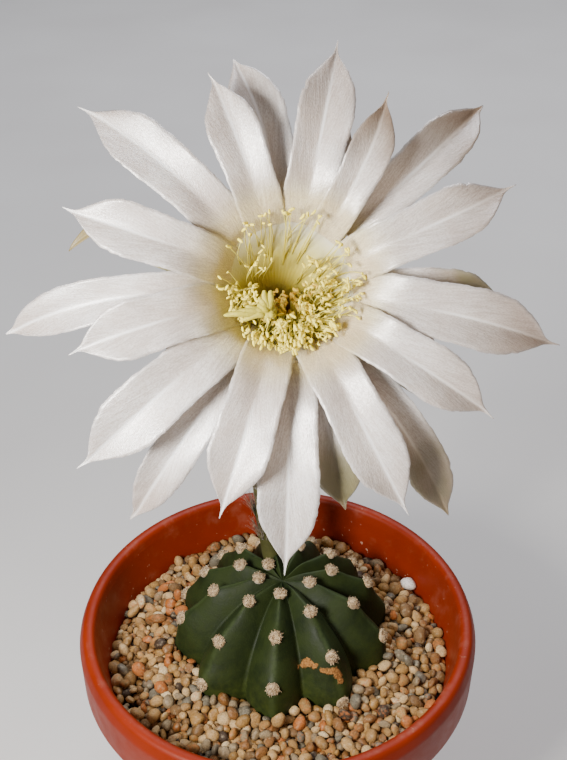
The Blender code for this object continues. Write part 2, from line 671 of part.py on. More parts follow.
def style_line():
    """Points of the pistil's style in the flower's frame, from the ovary up to the stigma."""
    path = tube_path()
    to_bloom = bloom_frame().inverted()
    points = [to_bloom @ path(d) for d in (STYLE_DEPTH, 105, 90, 75, 60, 48, 36, 26, 18)]
    return points + [Vector((-1.5, -2.0, -10.5)), Vector((-3.4, -4.3, -4)), STIGMA]


def lobe_line(direction, length, rise):
    """Points of one lobe of the stigma."""
    out = Vector((math.cos(math.radians(direction)), math.sin(math.radians(direction)), 0))
    foot = STIGMA + Vector((0, 0, -0.5))
    return [foot, STIGMA + out * 1.4 + Vector((0, 0, 1.2)), STIGMA + out * length + Vector((0, 0, rise))]


def gap_to_line(points, line):
    """Least distance from the points to a line."""
    least = 1e9
    near = line[-6:]
    for a, b in zip(near, near[1:]):
        for p in points:
            t = min(max((p - a).dot(b - a) / (b - a).length_squared, 0), 1)
            least = min(least, (p - a - (b - a) * t).length)
    return least


def stamen(foot, bow, tip):
    """Filament from its foot over a bow to its tip, with the anther on the end."""
    along = (tip - bow).normalized()
    path = [foot, bow, tip, tip + along * (ANTHER_LENGTH / 2), tip + along * ANTHER_LENGTH]
    radii = [FILAMENT_RADIUS] * 3 + [ANTHER_RADIUS, 0.3]
    bm = bmesh.new()
    sweep(bm, path, radii, 3)
    return object_from(bm, "stamen", None, bloom_frame()), path


def make_stamens(finish):
    """Sleeve of joined filaments lining the throat, with a ring of stamens on its rim and a crowd below."""
    sleeve = object_from(lathe(SLEEVE + SLEEVE[:1], BLOOM_SEGMENTS), "stamens", finish, bloom_frame())
    style = style_line()
    lobes = [lobe_line(*lobe) for lobe in STIGMA_LOBES]
    pieces = []

    def polar(angle, r, z):
        return Vector((r * math.cos(angle), r * math.sin(angle), z))

    for k in range(RING_STAMENS):
        angle = 2 * math.pi * (k + random.uniform(-0.25, 0.25)) / RING_STAMENS
        lean = random.uniform(-0.05, 0.05)
        rise = random.uniform(3.2, 6.0)
        tip = polar(angle + lean, random.uniform(14.0, 15.4), rise)
        pieces.append(stamen(polar(angle, 13.1, -1.2), polar(angle + lean / 2, 13.7, rise - 2.2), tip)[0])
    crowd = 0
    while crowd < CROWD_STAMENS:
        angle = math.radians(random.uniform(165, 385))
        depth = random.uniform(8.5, 18)
        wall = float(np.interp(-depth, [-24, -20, -13, -6.7, -2.6], [6.75, 7.65, 10.25, 12.05, 12.25]))
        reach = random.uniform(6.5, 13.2)
        height = random.uniform(-2.5, 3.0) - 0.12 * (13 - reach)
        end = polar(angle + random.uniform(-0.12, 0.12), reach, height)
        start = polar(angle, wall, -depth)
        bow = start.lerp(end, 0.55)
        bow += polar(angle, min(11.2, wall + 1) - bow.xy.length, 0) * 0.45
        along = (end - bow).normalized()
        line = [start.lerp(bow, 0.5), bow, bow.lerp(end, 0.5), end, end + along * ANTHER_LENGTH]
        if gap_to_line(line, style) < 2.6 or min(gap_to_line(line, lobe) for lobe in lobes) < 2.4:
            continue
        pieces.append(stamen(start, bow, end)[0])
        crowd += 1
    fuse(sleeve, pieces)
    smooth(sleeve, 60)
    return sleeve


def make_pistil(finish):
    """Slender style that ends in the lobes of the stigma."""
    bm = bmesh.new()
    line = style_line()
    sweep(bm, line, [STYLE_RADIUS] * (len(line) - 1) + [STYLE_RADIUS * 1.3], 5)
    pistil = object_from(bm, "pistil", finish, bloom_frame())
    lobes = []
    for spec in STIGMA_LOBES:
        lobe = bmesh.new()
        sweep(lobe, lobe_line(*spec), [0.65, 0.6, 0.4], 4)
        lobes.append(object_from(lobe, "lobe", None, bloom_frame()))
    fuse(pistil, lobes)
    smooth(pistil, 60)
    return pistil


def build():
    for old in list(bpy.data.objects):
        bpy.data.objects.remove(old)
    make_pot(material("terracotta plastic", (0.55, 0.12, 0.03), 0.45))
    make_potting_mix(material("potting mix", (0.06, 0.04, 0.025), 0.95))
    make_gravel(material("gravel", (0.48, 0.33, 0.2), 0.85))
    make_cactus(material("green cactus skin", (0.05, 0.1, 0.03), 0.5))
    make_flower_tube(material("hairy flower tube", (0.16, 0.15, 0.06), 0.8))
    make_petals("petals_outer", OUTER_RING, OUTER_PETALS, material("outer petals", (0.72, 0.7, 0.6), 0.5))
    make_petals("petals_inner", INNER_RING, INNER_PETALS, material("inner petals", (0.85, 0.84, 0.8), 0.5))
    make_stamens(material("stamens", (0.8, 0.72, 0.32), 0.6))
    make_pistil(material("pistil", (0.65, 0.75, 0.4), 0.5))


build()
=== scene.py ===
import math

import bmesh
import bpy
import numpy as np
from mathutils import Matrix, Vector
from mathutils.kdtree import KDTree


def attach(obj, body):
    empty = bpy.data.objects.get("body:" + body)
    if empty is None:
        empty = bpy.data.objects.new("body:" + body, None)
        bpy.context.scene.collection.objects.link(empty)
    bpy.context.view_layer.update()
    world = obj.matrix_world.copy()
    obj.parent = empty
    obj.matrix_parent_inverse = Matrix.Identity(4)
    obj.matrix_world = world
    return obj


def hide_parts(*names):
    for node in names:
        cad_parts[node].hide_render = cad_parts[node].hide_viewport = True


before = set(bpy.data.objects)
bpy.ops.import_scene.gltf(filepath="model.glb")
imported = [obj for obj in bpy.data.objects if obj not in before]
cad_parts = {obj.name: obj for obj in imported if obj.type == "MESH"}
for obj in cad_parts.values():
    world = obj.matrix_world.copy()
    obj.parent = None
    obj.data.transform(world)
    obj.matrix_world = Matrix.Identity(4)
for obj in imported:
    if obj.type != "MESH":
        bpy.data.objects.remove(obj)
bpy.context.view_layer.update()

MM = 0.001  # every size and place below is in millimetres, in the frame of the CAD model


# The pot: a 13 cm nursery pot, injection moulded in one piece from orange-red polypropylene.
# Its rim is rolled outwards over a straight band, and it stands on a foot ring and a centre pad,
# with drain holes between them.

POT_HEIGHT = 100.0
RIM_RADIUS = 65.6
RIM_LIP = 5.5
SKIRT_HEIGHT = 18.0
SKIRT_WALL = 1.6
POT_WALL = 2.0
POT_FOOT_RADIUS = 43.0
POT_FLOOR = 2.2
FOOT_RECESS = 2.0
FOOT_PAD_RADIUS = 12.0
FOOT_RING_WIDTH = 5.0
SHOULDER_Z = 79.5
SHOULDER_RADIUS = 56.6
GRAVEL_LINE_RADIUS = 57.4
DRAIN_HOLES = 6
DRAIN_RADIUS = 3.4
DRAIN_CIRCLE = 25.0
DRAIN_SEGMENTS = 32
POT_SEGMENTS = 168
POT_CREASE = math.radians(50)  # edges that turn by more than this stay sharp
POT_RED = "#842403"
POT_RED_DEEP = "#781F04"
POT_RED_PALE = "#8C2906"
POT_LIME = "#D9B79C"
GRAVEL_TOP = 85.0


def linear(code):
    """Linear colour of an sRGB hex code."""
    parts = [int(code[k : k + 2], 16) / 255 for k in (1, 3, 5)]
    return (*[c / 12.92 if c <= 0.04045 else ((c + 0.055) / 1.055) ** 2.4 for c in parts], 1.0)


def add(tree, kind, inputs, out=None, stops=(), **settings):
    """Adds a node with its settings and colour stops, and gives its first output in use, or those named.

    Its inputs come by name, or in the order of those in use. Each is an output to link, a value or a hex
    code."""
    made = tree.nodes.new("ShaderNode" + kind)
    for name, value in settings.items():
        setattr(made, name, value)
    for k, (place, code) in enumerate(stops):
        stop = made.color_ramp.elements[k] if k < 2 else made.color_ramp.elements.new(place)
        stop.position, stop.color = place, linear(code)
    if not isinstance(inputs, dict):
        inputs = dict(zip([k for k, socket in enumerate(made.inputs) if socket.enabled], inputs))
    for name, value in inputs.items():
        if isinstance(value, bpy.types.NodeSocket):
            tree.links.new(value, made.inputs[name])
        else:
            made.inputs[name].default_value = linear(value) if isinstance(value, str) else value
    if out is None:
        return next(socket for socket in made.outputs if socket.enabled)
    return made.outputs[out] if isinstance(out, str) else [made.outputs[name] for name in out]


# Settings that many nodes share: a smooth step, a product and a mix of colours.
SMOOTH = {"interpolation_type": "SMOOTHSTEP"}
TIMES = {"operation": "MULTIPLY"}
COLOURS = {"data_type": "RGBA"}


def finish(name, **constants):
    """New material, its node tree, its shader and the place on the object in millimetres.

    A pattern whose features are about N mm across has a scale of 1 / N there."""
    made = bpy.data.materials.new(name)
    made.use_nodes = True
    tree = made.node_tree
    shader = tree.nodes["Principled BSDF"]
    for socket, value in constants.items():
        shader.inputs[socket.replace("_", " ").title().replace("Ior", "IOR")].default_value = value
    metres = add(tree, "TexCoord", [], "Object")
    return made, tree, shader, add(tree, "VectorMath", [metres, 1 / MM], operation="SCALE")


def dress(tree, shader, colour, layers=(), rough=None):
    """Gives the shader its colour, its roughness and layers of bump, as (height, depth in millimetres)."""
    tree.links.new(colour, shader.inputs["Base Color"])
    if rough is not None:
        tree.links.new(rough, shader.inputs["Roughness"])
    normal = shader.inputs["Normal"]
    for height, depth in layers:
        bump = {"Height": height, "Distance": depth * MM, "Strength": 1.0}
        if normal.is_linked:
            bump["Normal"] = normal.links[0].from_socket
        tree.links.new(add(tree, "Bump", bump), normal)


def rounded(corners, steps=6):
    """Outline through the corners (radius, height, fillet), each of them rounded by its fillet."""
    outline = [Vector(corners[0][:2])]
    for before, corner, after in zip(corners, corners[1:], corners[2:]):
        at = Vector(corner[:2])
        back, on = Vector(before[:2]) - at, Vector(after[:2]) - at
        reach = min(corner[2] / math.tan(back.angle(on) / 2), back.length * 0.49, on.length * 0.49)
        start, end = at + back.normalized() * reach, at + on.normalized() * reach
        for k in range(steps + 1):
            t = k / steps
            outline.append(start * (1 - t) ** 2 + at * 2 * t * (1 - t) + end * t * t)
    return np.array(outline + [Vector(corners[-1][:2])])


def turned(outline, segments):
    """Rings of points where an outline of (radius, height) turns round the vertical axis."""
    angle = np.arange(segments) * 2 * np.pi / segments
    radius, height = outline[:, :1], outline[:, 1:]
    return np.stack([radius * np.cos(angle), radius * np.sin(angle), height + 0 * angle], -1)


def lofted(rings):
    """Points and faces of closed tubes, from rings given as (tube, ring, point of the ring, xyz)."""
    tubes, count, sides = rings.shape[:3]
    one = np.arange(count * sides).reshape(count, sides)
    low, high = one[:-1], one[1:]
    quads = np.stack([low, np.roll(low, -1, 1), np.roll(high, -1, 1), high], -1).reshape(-1, 4)
    starts = np.arange(tubes)[:, None, None] * count * sides
    faces = (quads[None] + starts).reshape(-1, 4).tolist()
    ends = np.stack([one[0][::-1], one[-1]])
    return rings.reshape(-1, 3), faces + (ends[None] + starts).reshape(-1, sides).tolist()


def mesh_piece(name, points, faces, look, marks=()):
    """A smooth piece from points in millimetres. marks are named triples of values kept on its points."""
    mesh = bpy.data.meshes.new(name)
    mesh.from_pydata((np.asarray(points) * MM).tolist(), [], faces)
    mesh.materials.append(look)
    mesh.shade_smooth()
    for mark, values in dict(marks).items():
        layer = mesh.attributes.new(mark, "FLOAT_VECTOR", "POINT")
        layer.data.foreach_set("vector", np.asarray(values, np.float32).ravel())
    made = bpy.data.objects.new(name, mesh)
    bpy.context.scene.collection.objects.link(made)
    return made


def pot_inside(z):
    """Inner radius of the pot's wall at a height."""
    heights = [FOOT_RECESS + POT_FLOOR, SHOULDER_Z, GRAVEL_TOP, POT_HEIGHT - 1.0]
    radii = [POT_FOOT_RADIUS - 1.2, SHOULDER_RADIUS, GRAVEL_LINE_RADIUS, RIM_RADIUS - RIM_LIP]
    return float(np.interp(z, heights, radii))


def pot_outline():
    """The pot's section, from the middle of its foot round the rim to the middle of its floor."""
    floor_top = FOOT_RECESS + POT_FLOOR
    ring = POT_FOOT_RADIUS - FOOT_RING_WIDTH
    skirt_bottom = POT_HEIGHT - SKIRT_HEIGHT
    return rounded([
        (1, 0, 0), (FOOT_PAD_RADIUS, 0, 0.6), (FOOT_PAD_RADIUS + 1.5, FOOT_RECESS, 0.6),
        (ring - 1.5, FOOT_RECESS, 0.6), (ring, 0, 0.6), (POT_FOOT_RADIUS, 0, 1.2),
        (POT_FOOT_RADIUS + 1.0, 4.0, 1.5), (SHOULDER_RADIUS + POT_WALL, SHOULDER_Z, 1.0),
        (RIM_RADIUS - RIM_LIP + POT_WALL - 0.4, POT_HEIGHT - 3, 0.8),
        (RIM_RADIUS - SKIRT_WALL, POT_HEIGHT - 3, 0.8), (RIM_RADIUS - SKIRT_WALL, skirt_bottom, 0.5),
        (RIM_RADIUS - 0.3, skirt_bottom, 0.7), (RIM_RADIUS - 0.1, POT_HEIGHT - 4, 4.0),
        (RIM_RADIUS - 1.6, POT_HEIGHT, 3.0), (RIM_RADIUS - RIM_LIP + 0.4, POT_HEIGHT - 0.1, 2.4),
        (pot_inside(POT_HEIGHT - 4), POT_HEIGHT - 4, 3.0), (pot_inside(GRAVEL_TOP), GRAVEL_TOP, 4.0),
        (pot_inside(SHOULDER_Z), SHOULDER_Z, 3.0),
        (pot_inside(floor_top) + 0.6, floor_top + 3, 3.0), (pot_inside(floor_top) - 3, floor_top, 3.0),
        (1, floor_top, 0),
    ])


def moulded_polypropylene():
    """Satin plastic: faintly clouded pigment, a fine orange-peel skin, and lime and grit inside the rim."""
    made, tree, shader, place = finish(
        "orange_red_polypropylene_moulded", roughness=0.5, specular_ior_level=0.22
    )
    height = add(tree, "SeparateXYZ", [place], "Z")
    level = add(tree, "VectorMath", [place, (1, 1, 0)], operation="MULTIPLY")
    from_axis = add(tree, "VectorMath", [level], operation="LENGTH")
    cloud = add(tree, "TexNoise", [place, 1 / 30.0, 3.0, 0.5])
    pigment = [(0.3, POT_RED_DEEP), (0.52, POT_RED), (0.75, POT_RED_PALE)]
    base = add(tree, "ValToRGB", [cloud], stops=pigment)
    # Lime dries in a tide line above the gravel and in 0.8 mm splashes, which thin out towards the rim.
    wall = add(tree, "MapRange", [from_axis, RIM_RADIUS - 2, RIM_RADIUS - 3], **SMOOTH)
    above = add(tree, "MapRange", [height, GRAVEL_TOP - 4, GRAVEL_TOP - 2], **SMOOTH)
    inside = add(tree, "Math", [wall, above], **TIMES)
    drops = add(tree, "TexNoise", [place, 1 / 1.7, 1.0])
    splashes = add(tree, "Math", [add(tree, "MapRange", [drops, 0.71, 0.77], **SMOOTH), inside], **TIMES)
    wet = add(tree, "MapRange", [height, GRAVEL_TOP - 2, GRAVEL_TOP + 9, 0.6, 0.12], **SMOOTH)
    base = add(tree, "Mix", [add(tree, "Math", [splashes, wet], **TIMES), base, POT_LIME], **COLOURS)
    dust = add(tree, "TexNoise", [place, 1 / 9.0, 4.0, 0.65])
    film = add(tree, "MapRange", [dust, 0.5, 0.8, 0.0, 0.09], **SMOOTH)
    base = add(tree, "Mix", [add(tree, "Math", [film, inside], **TIMES), base, POT_LIME], **COLOURS)
    wear = add(tree, "TexNoise", [place, 1 / 5.0, 4.0, 0.6])
    rough = add(tree, "MapRange", [wear, 0.3, 0.75, 0.44, 0.56], **SMOOTH)
    peel = add(tree, "TexNoise", [place, 1 / 0.9])
    dress(tree, shader, base, [(peel, 0.015), (splashes, 0.03)], rough)
    return made


def moulded_pot(look):
    """The turned pot with its drain holes cut."""
    rings = turned(pot_outline(), POT_SEGMENTS)
    pot = mesh_piece("pot_shell", *lofted(rings[None]), look)
    holes = bmesh.new()
    for k in range(DRAIN_HOLES):
        a = 2 * math.pi * k / DRAIN_HOLES
        middle = Vector((DRAIN_CIRCLE * math.cos(a), DRAIN_CIRCLE * math.sin(a), FOOT_RECESS)) * MM
        bmesh.ops.create_cone(
            holes, cap_ends=True, segments=DRAIN_SEGMENTS, radius1=DRAIN_RADIUS * MM,
            radius2=DRAIN_RADIUS * MM, depth=4 * POT_FLOOR * MM, matrix=Matrix.Translation(middle),
        )
    drill_mesh = bpy.data.meshes.new("drain_hole_drill")
    holes.to_mesh(drill_mesh)
    drill = bpy.data.objects.new("drain_hole_drill", drill_mesh)
    bpy.context.scene.collection.objects.link(drill)
    cut = pot.modifiers.new("drain holes", "BOOLEAN")
    cut.operation = "DIFFERENCE"
    cut.solver = "EXACT"
    cut.object = drill
    bpy.context.view_layer.update()
    solid = bpy.data.meshes.new_from_object(pot.evaluated_get(bpy.context.evaluated_depsgraph_get()))
    pot.modifiers.clear()
    pot.data = solid
    bpy.data.objects.remove(drill)
    solid.set_sharp_from_angle(angle=POT_CREASE)
    return pot


pot = moulded_pot(moulded_polypropylene())
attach(pot, "root")
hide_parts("pot")


# The potting mix: composted bark and peat, watered down into the pot. It only shows as dark crumb
# through the drain holes and in the deepest gaps of the gravel, so the CAD solid is kept and dressed.

MIX_BROWN = "#2A1C12"
MIX_BARK = "#5A3C24"
MIX_BLACK = "#120C08"


def bark_and_peat():
    """Matt crumb of 1 to 4 mm, dark where it is wet, with paler chips of bark."""
    made, tree, shader, place = finish("bark_and_peat_crumbled", roughness=0.92)
    edge, crumb = add(tree, "TexVoronoi", [place, 1 / 2.6], ["Distance", "Color"], feature="F1")
    tone = add(tree, "SeparateColor", [crumb])
    base = add(tree, "ValToRGB", [tone], stops=[(0.2, MIX_BLACK), (0.55, MIX_BROWN), (0.9, MIX_BARK)])
    height = add(tree, "Math", [1.0, edge], operation="SUBTRACT")
    dress(tree, shader, base, [(height, 0.8), (add(tree, "TexNoise", [place, 1 / 0.5, 3.0]), 0.15)])
    return made


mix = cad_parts["potting_mix"]
mix.data.materials.clear()
mix.data.materials.append(bark_and_peat())


# The cactus: one globe grown from a tap root, with eleven ribs that rise to an acute ridge and
# fall into deep grooves. The skin is waxy and dark green, with cork where it has scarred.

CACTUS_X, CACTUS_Y = 1.5, 4.5
# The line of a rib's ridge, as (radius, height), from the crown to the tip of the root, and how deep the
# grooves beside it are at each of its points.
CREST_LINE = [
    (0.0, 109.4), (4.0, 110.6), (9.0, 111.4), (16.0, 110.4), (23.0, 107.2), (29.5, 101.8), (34.2, 95.4),
    (36.6, 89.0), (36.2, 83.0), (32.8, 77.0), (26.0, 71.6), (16.0, 67.4), (8.0, 64.4), (4.6, 60.0),
    (3.4, 50.0), (1.6, 40.0),
]
GROOVE_DEPTH = [0.0, 1.6, 3.4, 5.4, 6.8, 7.6, 8.0, 8.0, 7.6, 6.4, 4.4, 1.8, 0.0, 0.0, 0.0, 0.0]
RIB_AZIMUTHS = [-95, -59, -18, 14, 42, 70, 103, 129, 157, 187, 226]
FIRST_AREOLE = [8.6, 17.6, 9.8, 17, 22.5, 17, 9, 7.6, 15.5, 8, 15.5]  # from the crown, along each rib in turn
AREOLE_SPACING = 15.5
AREOLE_RADIUS = 2.1
RIB_STEPS = 22
SKIN_ROWS = 110
RIDGE_ROUNDING = 0.02  # keeps the ridge from coming to a knife edge
AREOLE_SWELL = 0.55
SKIN_GREEN = "#25300F"
SKIN_SHADE = "#1A240F"
SKIN_YELLOW = "#444E1A"
# pale green of the stomata dots, and of the painted highlight along the ridges
SKIN_PALE_AND_RIDGE_HIGHLIGHT = "#3D4A28"
CORK = "#B4824A"
CORK_DARK = "#7A4C22"
CORK_SCARS = [
    ((7.4, -20.6, 96.6), (9.6, -20.2, 98.2)), ((9.6, -20.2, 98.2), (12.4, -21.4, 98.0)),
    ((14.8, -22.7, 97.4), (17.8, -23.1, 97.8)), ((17.8, -23.1, 97.8), (19.9, -24.2, 94.2)),
]
SCAR_WIDTH = 2.5


def along_line(line, values, count):
    """Smooth curve through the points of a line, sampled evenly, with the values carried along it."""
    line, values = np.array(line, float), np.array(values, float)
    steps = np.r_[0, np.cumsum(np.hypot(*np.diff(line, axis=0).T))]
    at = np.linspace(0, steps[-1], count)
    i = np.clip(np.searchsorted(steps, at, side="right") - 1, 0, len(line) - 2)
    t = ((at - steps[i]) / (steps[i + 1] - steps[i]))[:, None]
    before, after = line[np.maximum(i - 1, 0)], line[np.minimum(i + 2, len(line) - 1)]
    a, b = line[i], line[i + 1]
    curve = 0.5 * (2 * a + (b - before) * t + (2 * before - 5 * a + 4 * b - after) * t**2
                   + (3 * a - before - 3 * b + after) * t**3)
    return curve, np.interp(at, steps, values), at


def crest_normals(curve):
    """Outward directions (radius, height) across the crest line."""
    step = np.gradient(curve, axis=0)
    step /= np.linalg.norm(step, axis=1, keepdims=True)
    return np.c_[-step[:, 1], step[:, 0]]


def cactus_skin():
    """Rings of points on the ribbed skin, from the crown to the root's tip, and marks of rib and distance."""
    curve, depth, far = along_line(CREST_LINE, GROOVE_DEPTH, SKIN_ROWS)
    outward = crest_normals(curve)
    rings, marks = [], []
    for rib, start in enumerate(RIB_AZIMUTHS):
        turn = (RIB_AZIMUTHS[(rib + 1) % len(RIB_AZIMUTHS)] - start) % 360
        for k in range(RIB_STEPS):
            across = k / RIB_STEPS
            azimuth = math.radians(start + turn * across)
            from_crest = 2 * min(across, 1 - across)
            blunt = math.sqrt(RIDGE_ROUNDING)
            groove = (math.hypot(from_crest, blunt) - blunt) / (math.hypot(1, blunt) - blunt)
            flank = groove - 0.07 * math.sin(math.pi * from_crest)
            near = rib if across < 0.5 else (rib + 1) % len(RIB_AZIMUTHS)
            # The ridge swells a little at each areole.
            swell = AREOLE_SWELL * np.cos(2 * np.pi * (far - FIRST_AREOLE[near]) / AREOLE_SPACING)
            swell = swell * (1 - from_crest) ** 2 * np.clip(depth / 5, 0, 1)
            radius = np.maximum(curve[:, 0] - outward[:, 0] * depth * flank + swell * outward[:, 0], 0.25)
            height = curve[:, 1] - outward[:, 1] * depth * flank + swell * outward[:, 1]
            x, y = CACTUS_X + radius * math.cos(azimuth), CACTUS_Y + radius * math.sin(azimuth)
            rings.append(np.c_[x, y, height])
            marks.append(np.c_[np.full_like(far, from_crest), far, np.full_like(far, near)])
    return np.stack(rings, 1), np.stack(marks, 1)


def from_segment(tree, place, start, end):
    """Distance of a place from the line between two points."""
    line = Vector(end) - Vector(start)
    out = add(tree, "VectorMath", [place, start], operation="SUBTRACT")
    along = add(tree, "VectorMath", [out, line / line.length_squared], operation="DOT_PRODUCT")
    reached = add(tree, "VectorMath", [tuple(line), add(tree, "Clamp", [along])], operation="SCALE")
    return add(tree, "VectorMath", [out, reached], operation="DISTANCE")


def waxy_cactus_skin():
    """Waxy green skin with a soft gloss, yellower where it is old, lighter along its ridges, partly as worn
    skin and partly as a painted highlight, dull and corky at its scars."""
    made, tree, shader, place = finish("cactus_skin_waxy", roughness=0.6, specular_ior_level=0.22)
    rib = add(tree, "Attribute", [], "Vector", attribute_name="rib")
    from_crest = add(tree, "SeparateXYZ", [rib])
    back, height = add(tree, "SeparateXYZ", [place], ["Y", "Z"])
    mottle = add(tree, "TexNoise", [place, 1 / 7.0, 3.0, 0.6])
    base = add(tree, "ValToRGB", [mottle], stops=[(0.32, SKIN_SHADE), (0.6, SKIN_GREEN)])
    # The old lower skin is yellower, most of all towards the front.
    low = add(tree, "MapRange", [height, 101.0, 84.0], **SMOOTH)
    front = add(tree, "MapRange", [back, 8.0, -24.0], **SMOOTH)
    patches = add(tree, "MapRange", [add(tree, "TexNoise", [place, 1 / 5.0, 3.0, 0.7]), 0.3, 0.75], **SMOOTH)
    old = add(tree, "Math", [add(tree, "Math", [low, front], **TIMES), patches], **TIMES)
    base = add(tree, "Mix", [add(tree, "Math", [old, 0.6], **TIMES), base, SKIN_YELLOW], **COLOURS)
    # The ridges are drawn paler in patches: partly worn skin, partly a painted highlight along the crest.
    worn = add(tree, "MapRange", [add(tree, "TexNoise", [place, 1 / 2.0]), 0.25, 0.6, 0.1, 0.45], **SMOOTH)
    ridge = add(tree, "Math", [add(tree, "MapRange", [from_crest, 0.13, 0.015], **SMOOTH), worn], **TIMES)
    base = add(tree, "Mix", [ridge, base, SKIN_PALE_AND_RIDGE_HIGHLIGHT], **COLOURS)
    # Stomata: pale points about 0.4 mm apart, drawn at 0.55 mm so that they show.
    pores = add(tree, "TexVoronoi", [place, 1 / 0.55], feature="F1")
    dots = add(tree, "MapRange", [pores, 0.24, 0.1, 0.0, 0.22], **SMOOTH)
    base = add(tree, "Mix", [dots, base, SKIN_PALE_AND_RIDGE_HIGHLIGHT], **COLOURS)
    # Cork: a ragged band along each scar.
    wobble = add(tree, "TexNoise", [place, 1 / 1.6, 3.0], "Color")
    moved = add(tree, "VectorMath", [wobble, (0.5, 0.5, 0.5)], operation="SUBTRACT")
    moved = add(tree, "VectorMath", [moved, 2.4], operation="SCALE")
    moved = add(tree, "VectorMath", [place, moved], operation="ADD")
    cork = None
    for start, end in CORK_SCARS:
        away = from_segment(tree, moved, start, end)
        spot = add(tree, "MapRange", [away, SCAR_WIDTH * 0.6, SCAR_WIDTH * 0.4], **SMOOTH)
        cork = spot if cork is None else add(tree, "Math", [cork, spot], operation="MAXIMUM")
    grain = add(tree, "TexNoise", [place, 1 / 0.8, 4.0, 0.7])
    bark = add(tree, "ValToRGB", [grain], stops=[(0.35, CORK_DARK), (0.62, CORK)])
    base = add(tree, "Mix", [cork, base, bark], **COLOURS)
    gloss = add(tree, "MapRange", [mottle, 0.3, 0.7, 0.55, 0.7], **SMOOTH)
    rough = add(tree, "Math", [gloss, add(tree, "Math", [cork, 0.35], **TIMES)], operation="ADD")
    ripple = add(tree, "TexNoise", [place, 1 / 1.6, 3.0])
    cracks = add(tree, "Math", [cork, add(tree, "TexNoise", [place, 1 / 0.7, 3.0])], **TIMES)
    dress(tree, shader, base, [(ripple, 0.1), (pores, 0.03), (cracks, 0.5)], rough)
    return made


skin_points, skin_marks = cactus_skin()
skin_faces = lofted(skin_points[None, ::-1])[1]
cactus = mesh_piece(
    "cactus_skin", skin_points[::-1].reshape(-1, 3), skin_faces, waxy_cactus_skin(),
    {"rib": skin_marks[::-1].reshape(-1, 3)},
)
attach(cactus, "root")
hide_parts("cactus_stem")


# The areoles: pads of off-white wool, 4 mm across, that stand along each ridge with a few tiny
# brown spines in their middles. The wool is soft curled hair on a felted cushion.

WOOL = "#B79C76"
WOOL_PALE = "#CFBB98"
WOOL_SHADE = "#86694A"
SPINE_BROWN = "#4A3020"
SPINE_PALE = "#7A5A3C"
AREOLES_EACH = 4  # on one rib at most, because those below the gravel are left out
WOOL_HAIRS = 132
WOOL_POINTS = 8
WOOL_RADII = (0.092, 0.06)
WOOL_LENGTHS = (0.45, 0.95)
WOOL_CURL = 0.22
PAD_RISES = [-1.2, -0.4, 0.15, 0.6, 0.95, 1.1]
PAD_WIDTHS = [0.88, 0.96, 0.92, 0.72, 0.42, 0.08]
SPINES_EACH = 3
SPINE_RISES = [0.3, 1.2, 1.9]
SPINE_RADII = [0.1, 0.08, 0.02]


def unit(vectors):
    """The vectors at length 1."""
    return vectors / np.maximum(np.linalg.norm(vectors, axis=-1, keepdims=True), 1e-9)


def strands(paths, radii, sides):
    """Rings of points of thin tubes along many paths at once, from paths (strand, point, xyz) and radii."""
    along = unit(np.gradient(paths, axis=1))
    side = np.cross(along[:, 0], [0.31, 0.52, 0.79])
    turn = np.arange(sides) * 2 * np.pi / sides
    rings = []
    for k in range(paths.shape[1]):
        side = unit(side - along[:, k] * (side * along[:, k]).sum(1, keepdims=True))
        up = np.cross(along[:, k], side)
        circle = side[:, None] * np.cos(turn)[None, :, None] + up[:, None] * np.sin(turn)[None, :, None]
        rings.append(paths[:, k, None] + circle * radii[:, k, None, None])
    return np.stack(rings, 1)


def areole_places():
    """(point, outward direction) of each areole above the gravel, in rib order."""
    curve, depth, far = along_line(CREST_LINE, GROOVE_DEPTH, 800)
    outward = crest_normals(curve)
    places = []
    for rib, first in enumerate(FIRST_AREOLE):
        azimuth = math.radians(RIB_AZIMUTHS[rib])
        for k in range(AREOLES_EACH):
            i = int(np.searchsorted(far, first + k * AREOLE_SPACING))
            (r, z), (out, up) = curve[i], outward[i]
            if z < GRAVEL_TOP + AREOLE_RADIUS:
                break
            r, z = r + 0.5 * out, z + 0.5 * up
            point = np.array([CACTUS_X + r * math.cos(azimuth), CACTUS_Y + r * math.sin(azimuth), z])
            places.append((point, np.array([out * math.cos(azimuth), out * math.sin(azimuth), up])))
    return places


def tangents(normal):
    """Two directions across a normal."""
    first = unit(np.cross(normal, [0.3, 0.2, 0.93]))
    return first, np.cross(normal, first)


def wool_hairs(places, rng):
    """Curled hairs that stand a little way out of each areole, each bent its own way."""
    paths = []
    share = np.linspace(0, 1, WOOL_POINTS)
    for point, normal in places:
        across, up = tangents(normal)
        turn = rng.uniform(0, 2 * np.pi, WOOL_HAIRS)
        out = AREOLE_RADIUS * 0.92 * np.sqrt(rng.uniform(0, 1, WOOL_HAIRS))
        sideways = across * np.cos(turn)[:, None] + up * np.sin(turn)[:, None]
        dome = 1.15 * (1 - (out / AREOLE_RADIUS) ** 2) - 0.35
        root = point + sideways * out[:, None] + normal * dome[:, None]
        spread = sideways * (0.9 * out / AREOLE_RADIUS)[:, None]
        lean = unit(normal + spread + rng.normal(0, 0.4, (WOOL_HAIRS, 3)))
        curl = unit(rng.normal(0, 1, (2, WOOL_HAIRS, 3)))
        size = rng.uniform(*WOOL_LENGTHS, WOOL_HAIRS)[:, None]
        start = rng.uniform(0, 6.3, (WOOL_HAIRS, 1))
        turns = share * rng.uniform(4, 9, (WOOL_HAIRS, 1)) + start
        path = root[:, None] + lean[:, None] * (share[None, :, None] * size[:, None])
        bend = curl[0][:, None] * (np.sin(turns) - np.sin(start))[..., None]
        bend = bend + curl[1][:, None] * (np.cos(turns) - np.cos(start))[..., None]
        paths.append(path + bend * WOOL_CURL)
    paths = np.concatenate(paths)
    radii = np.linspace(*WOOL_RADII, WOOL_POINTS)[None] * rng.uniform(0.8, 1.3, (len(paths), 1))
    return strands(paths, radii, 3)


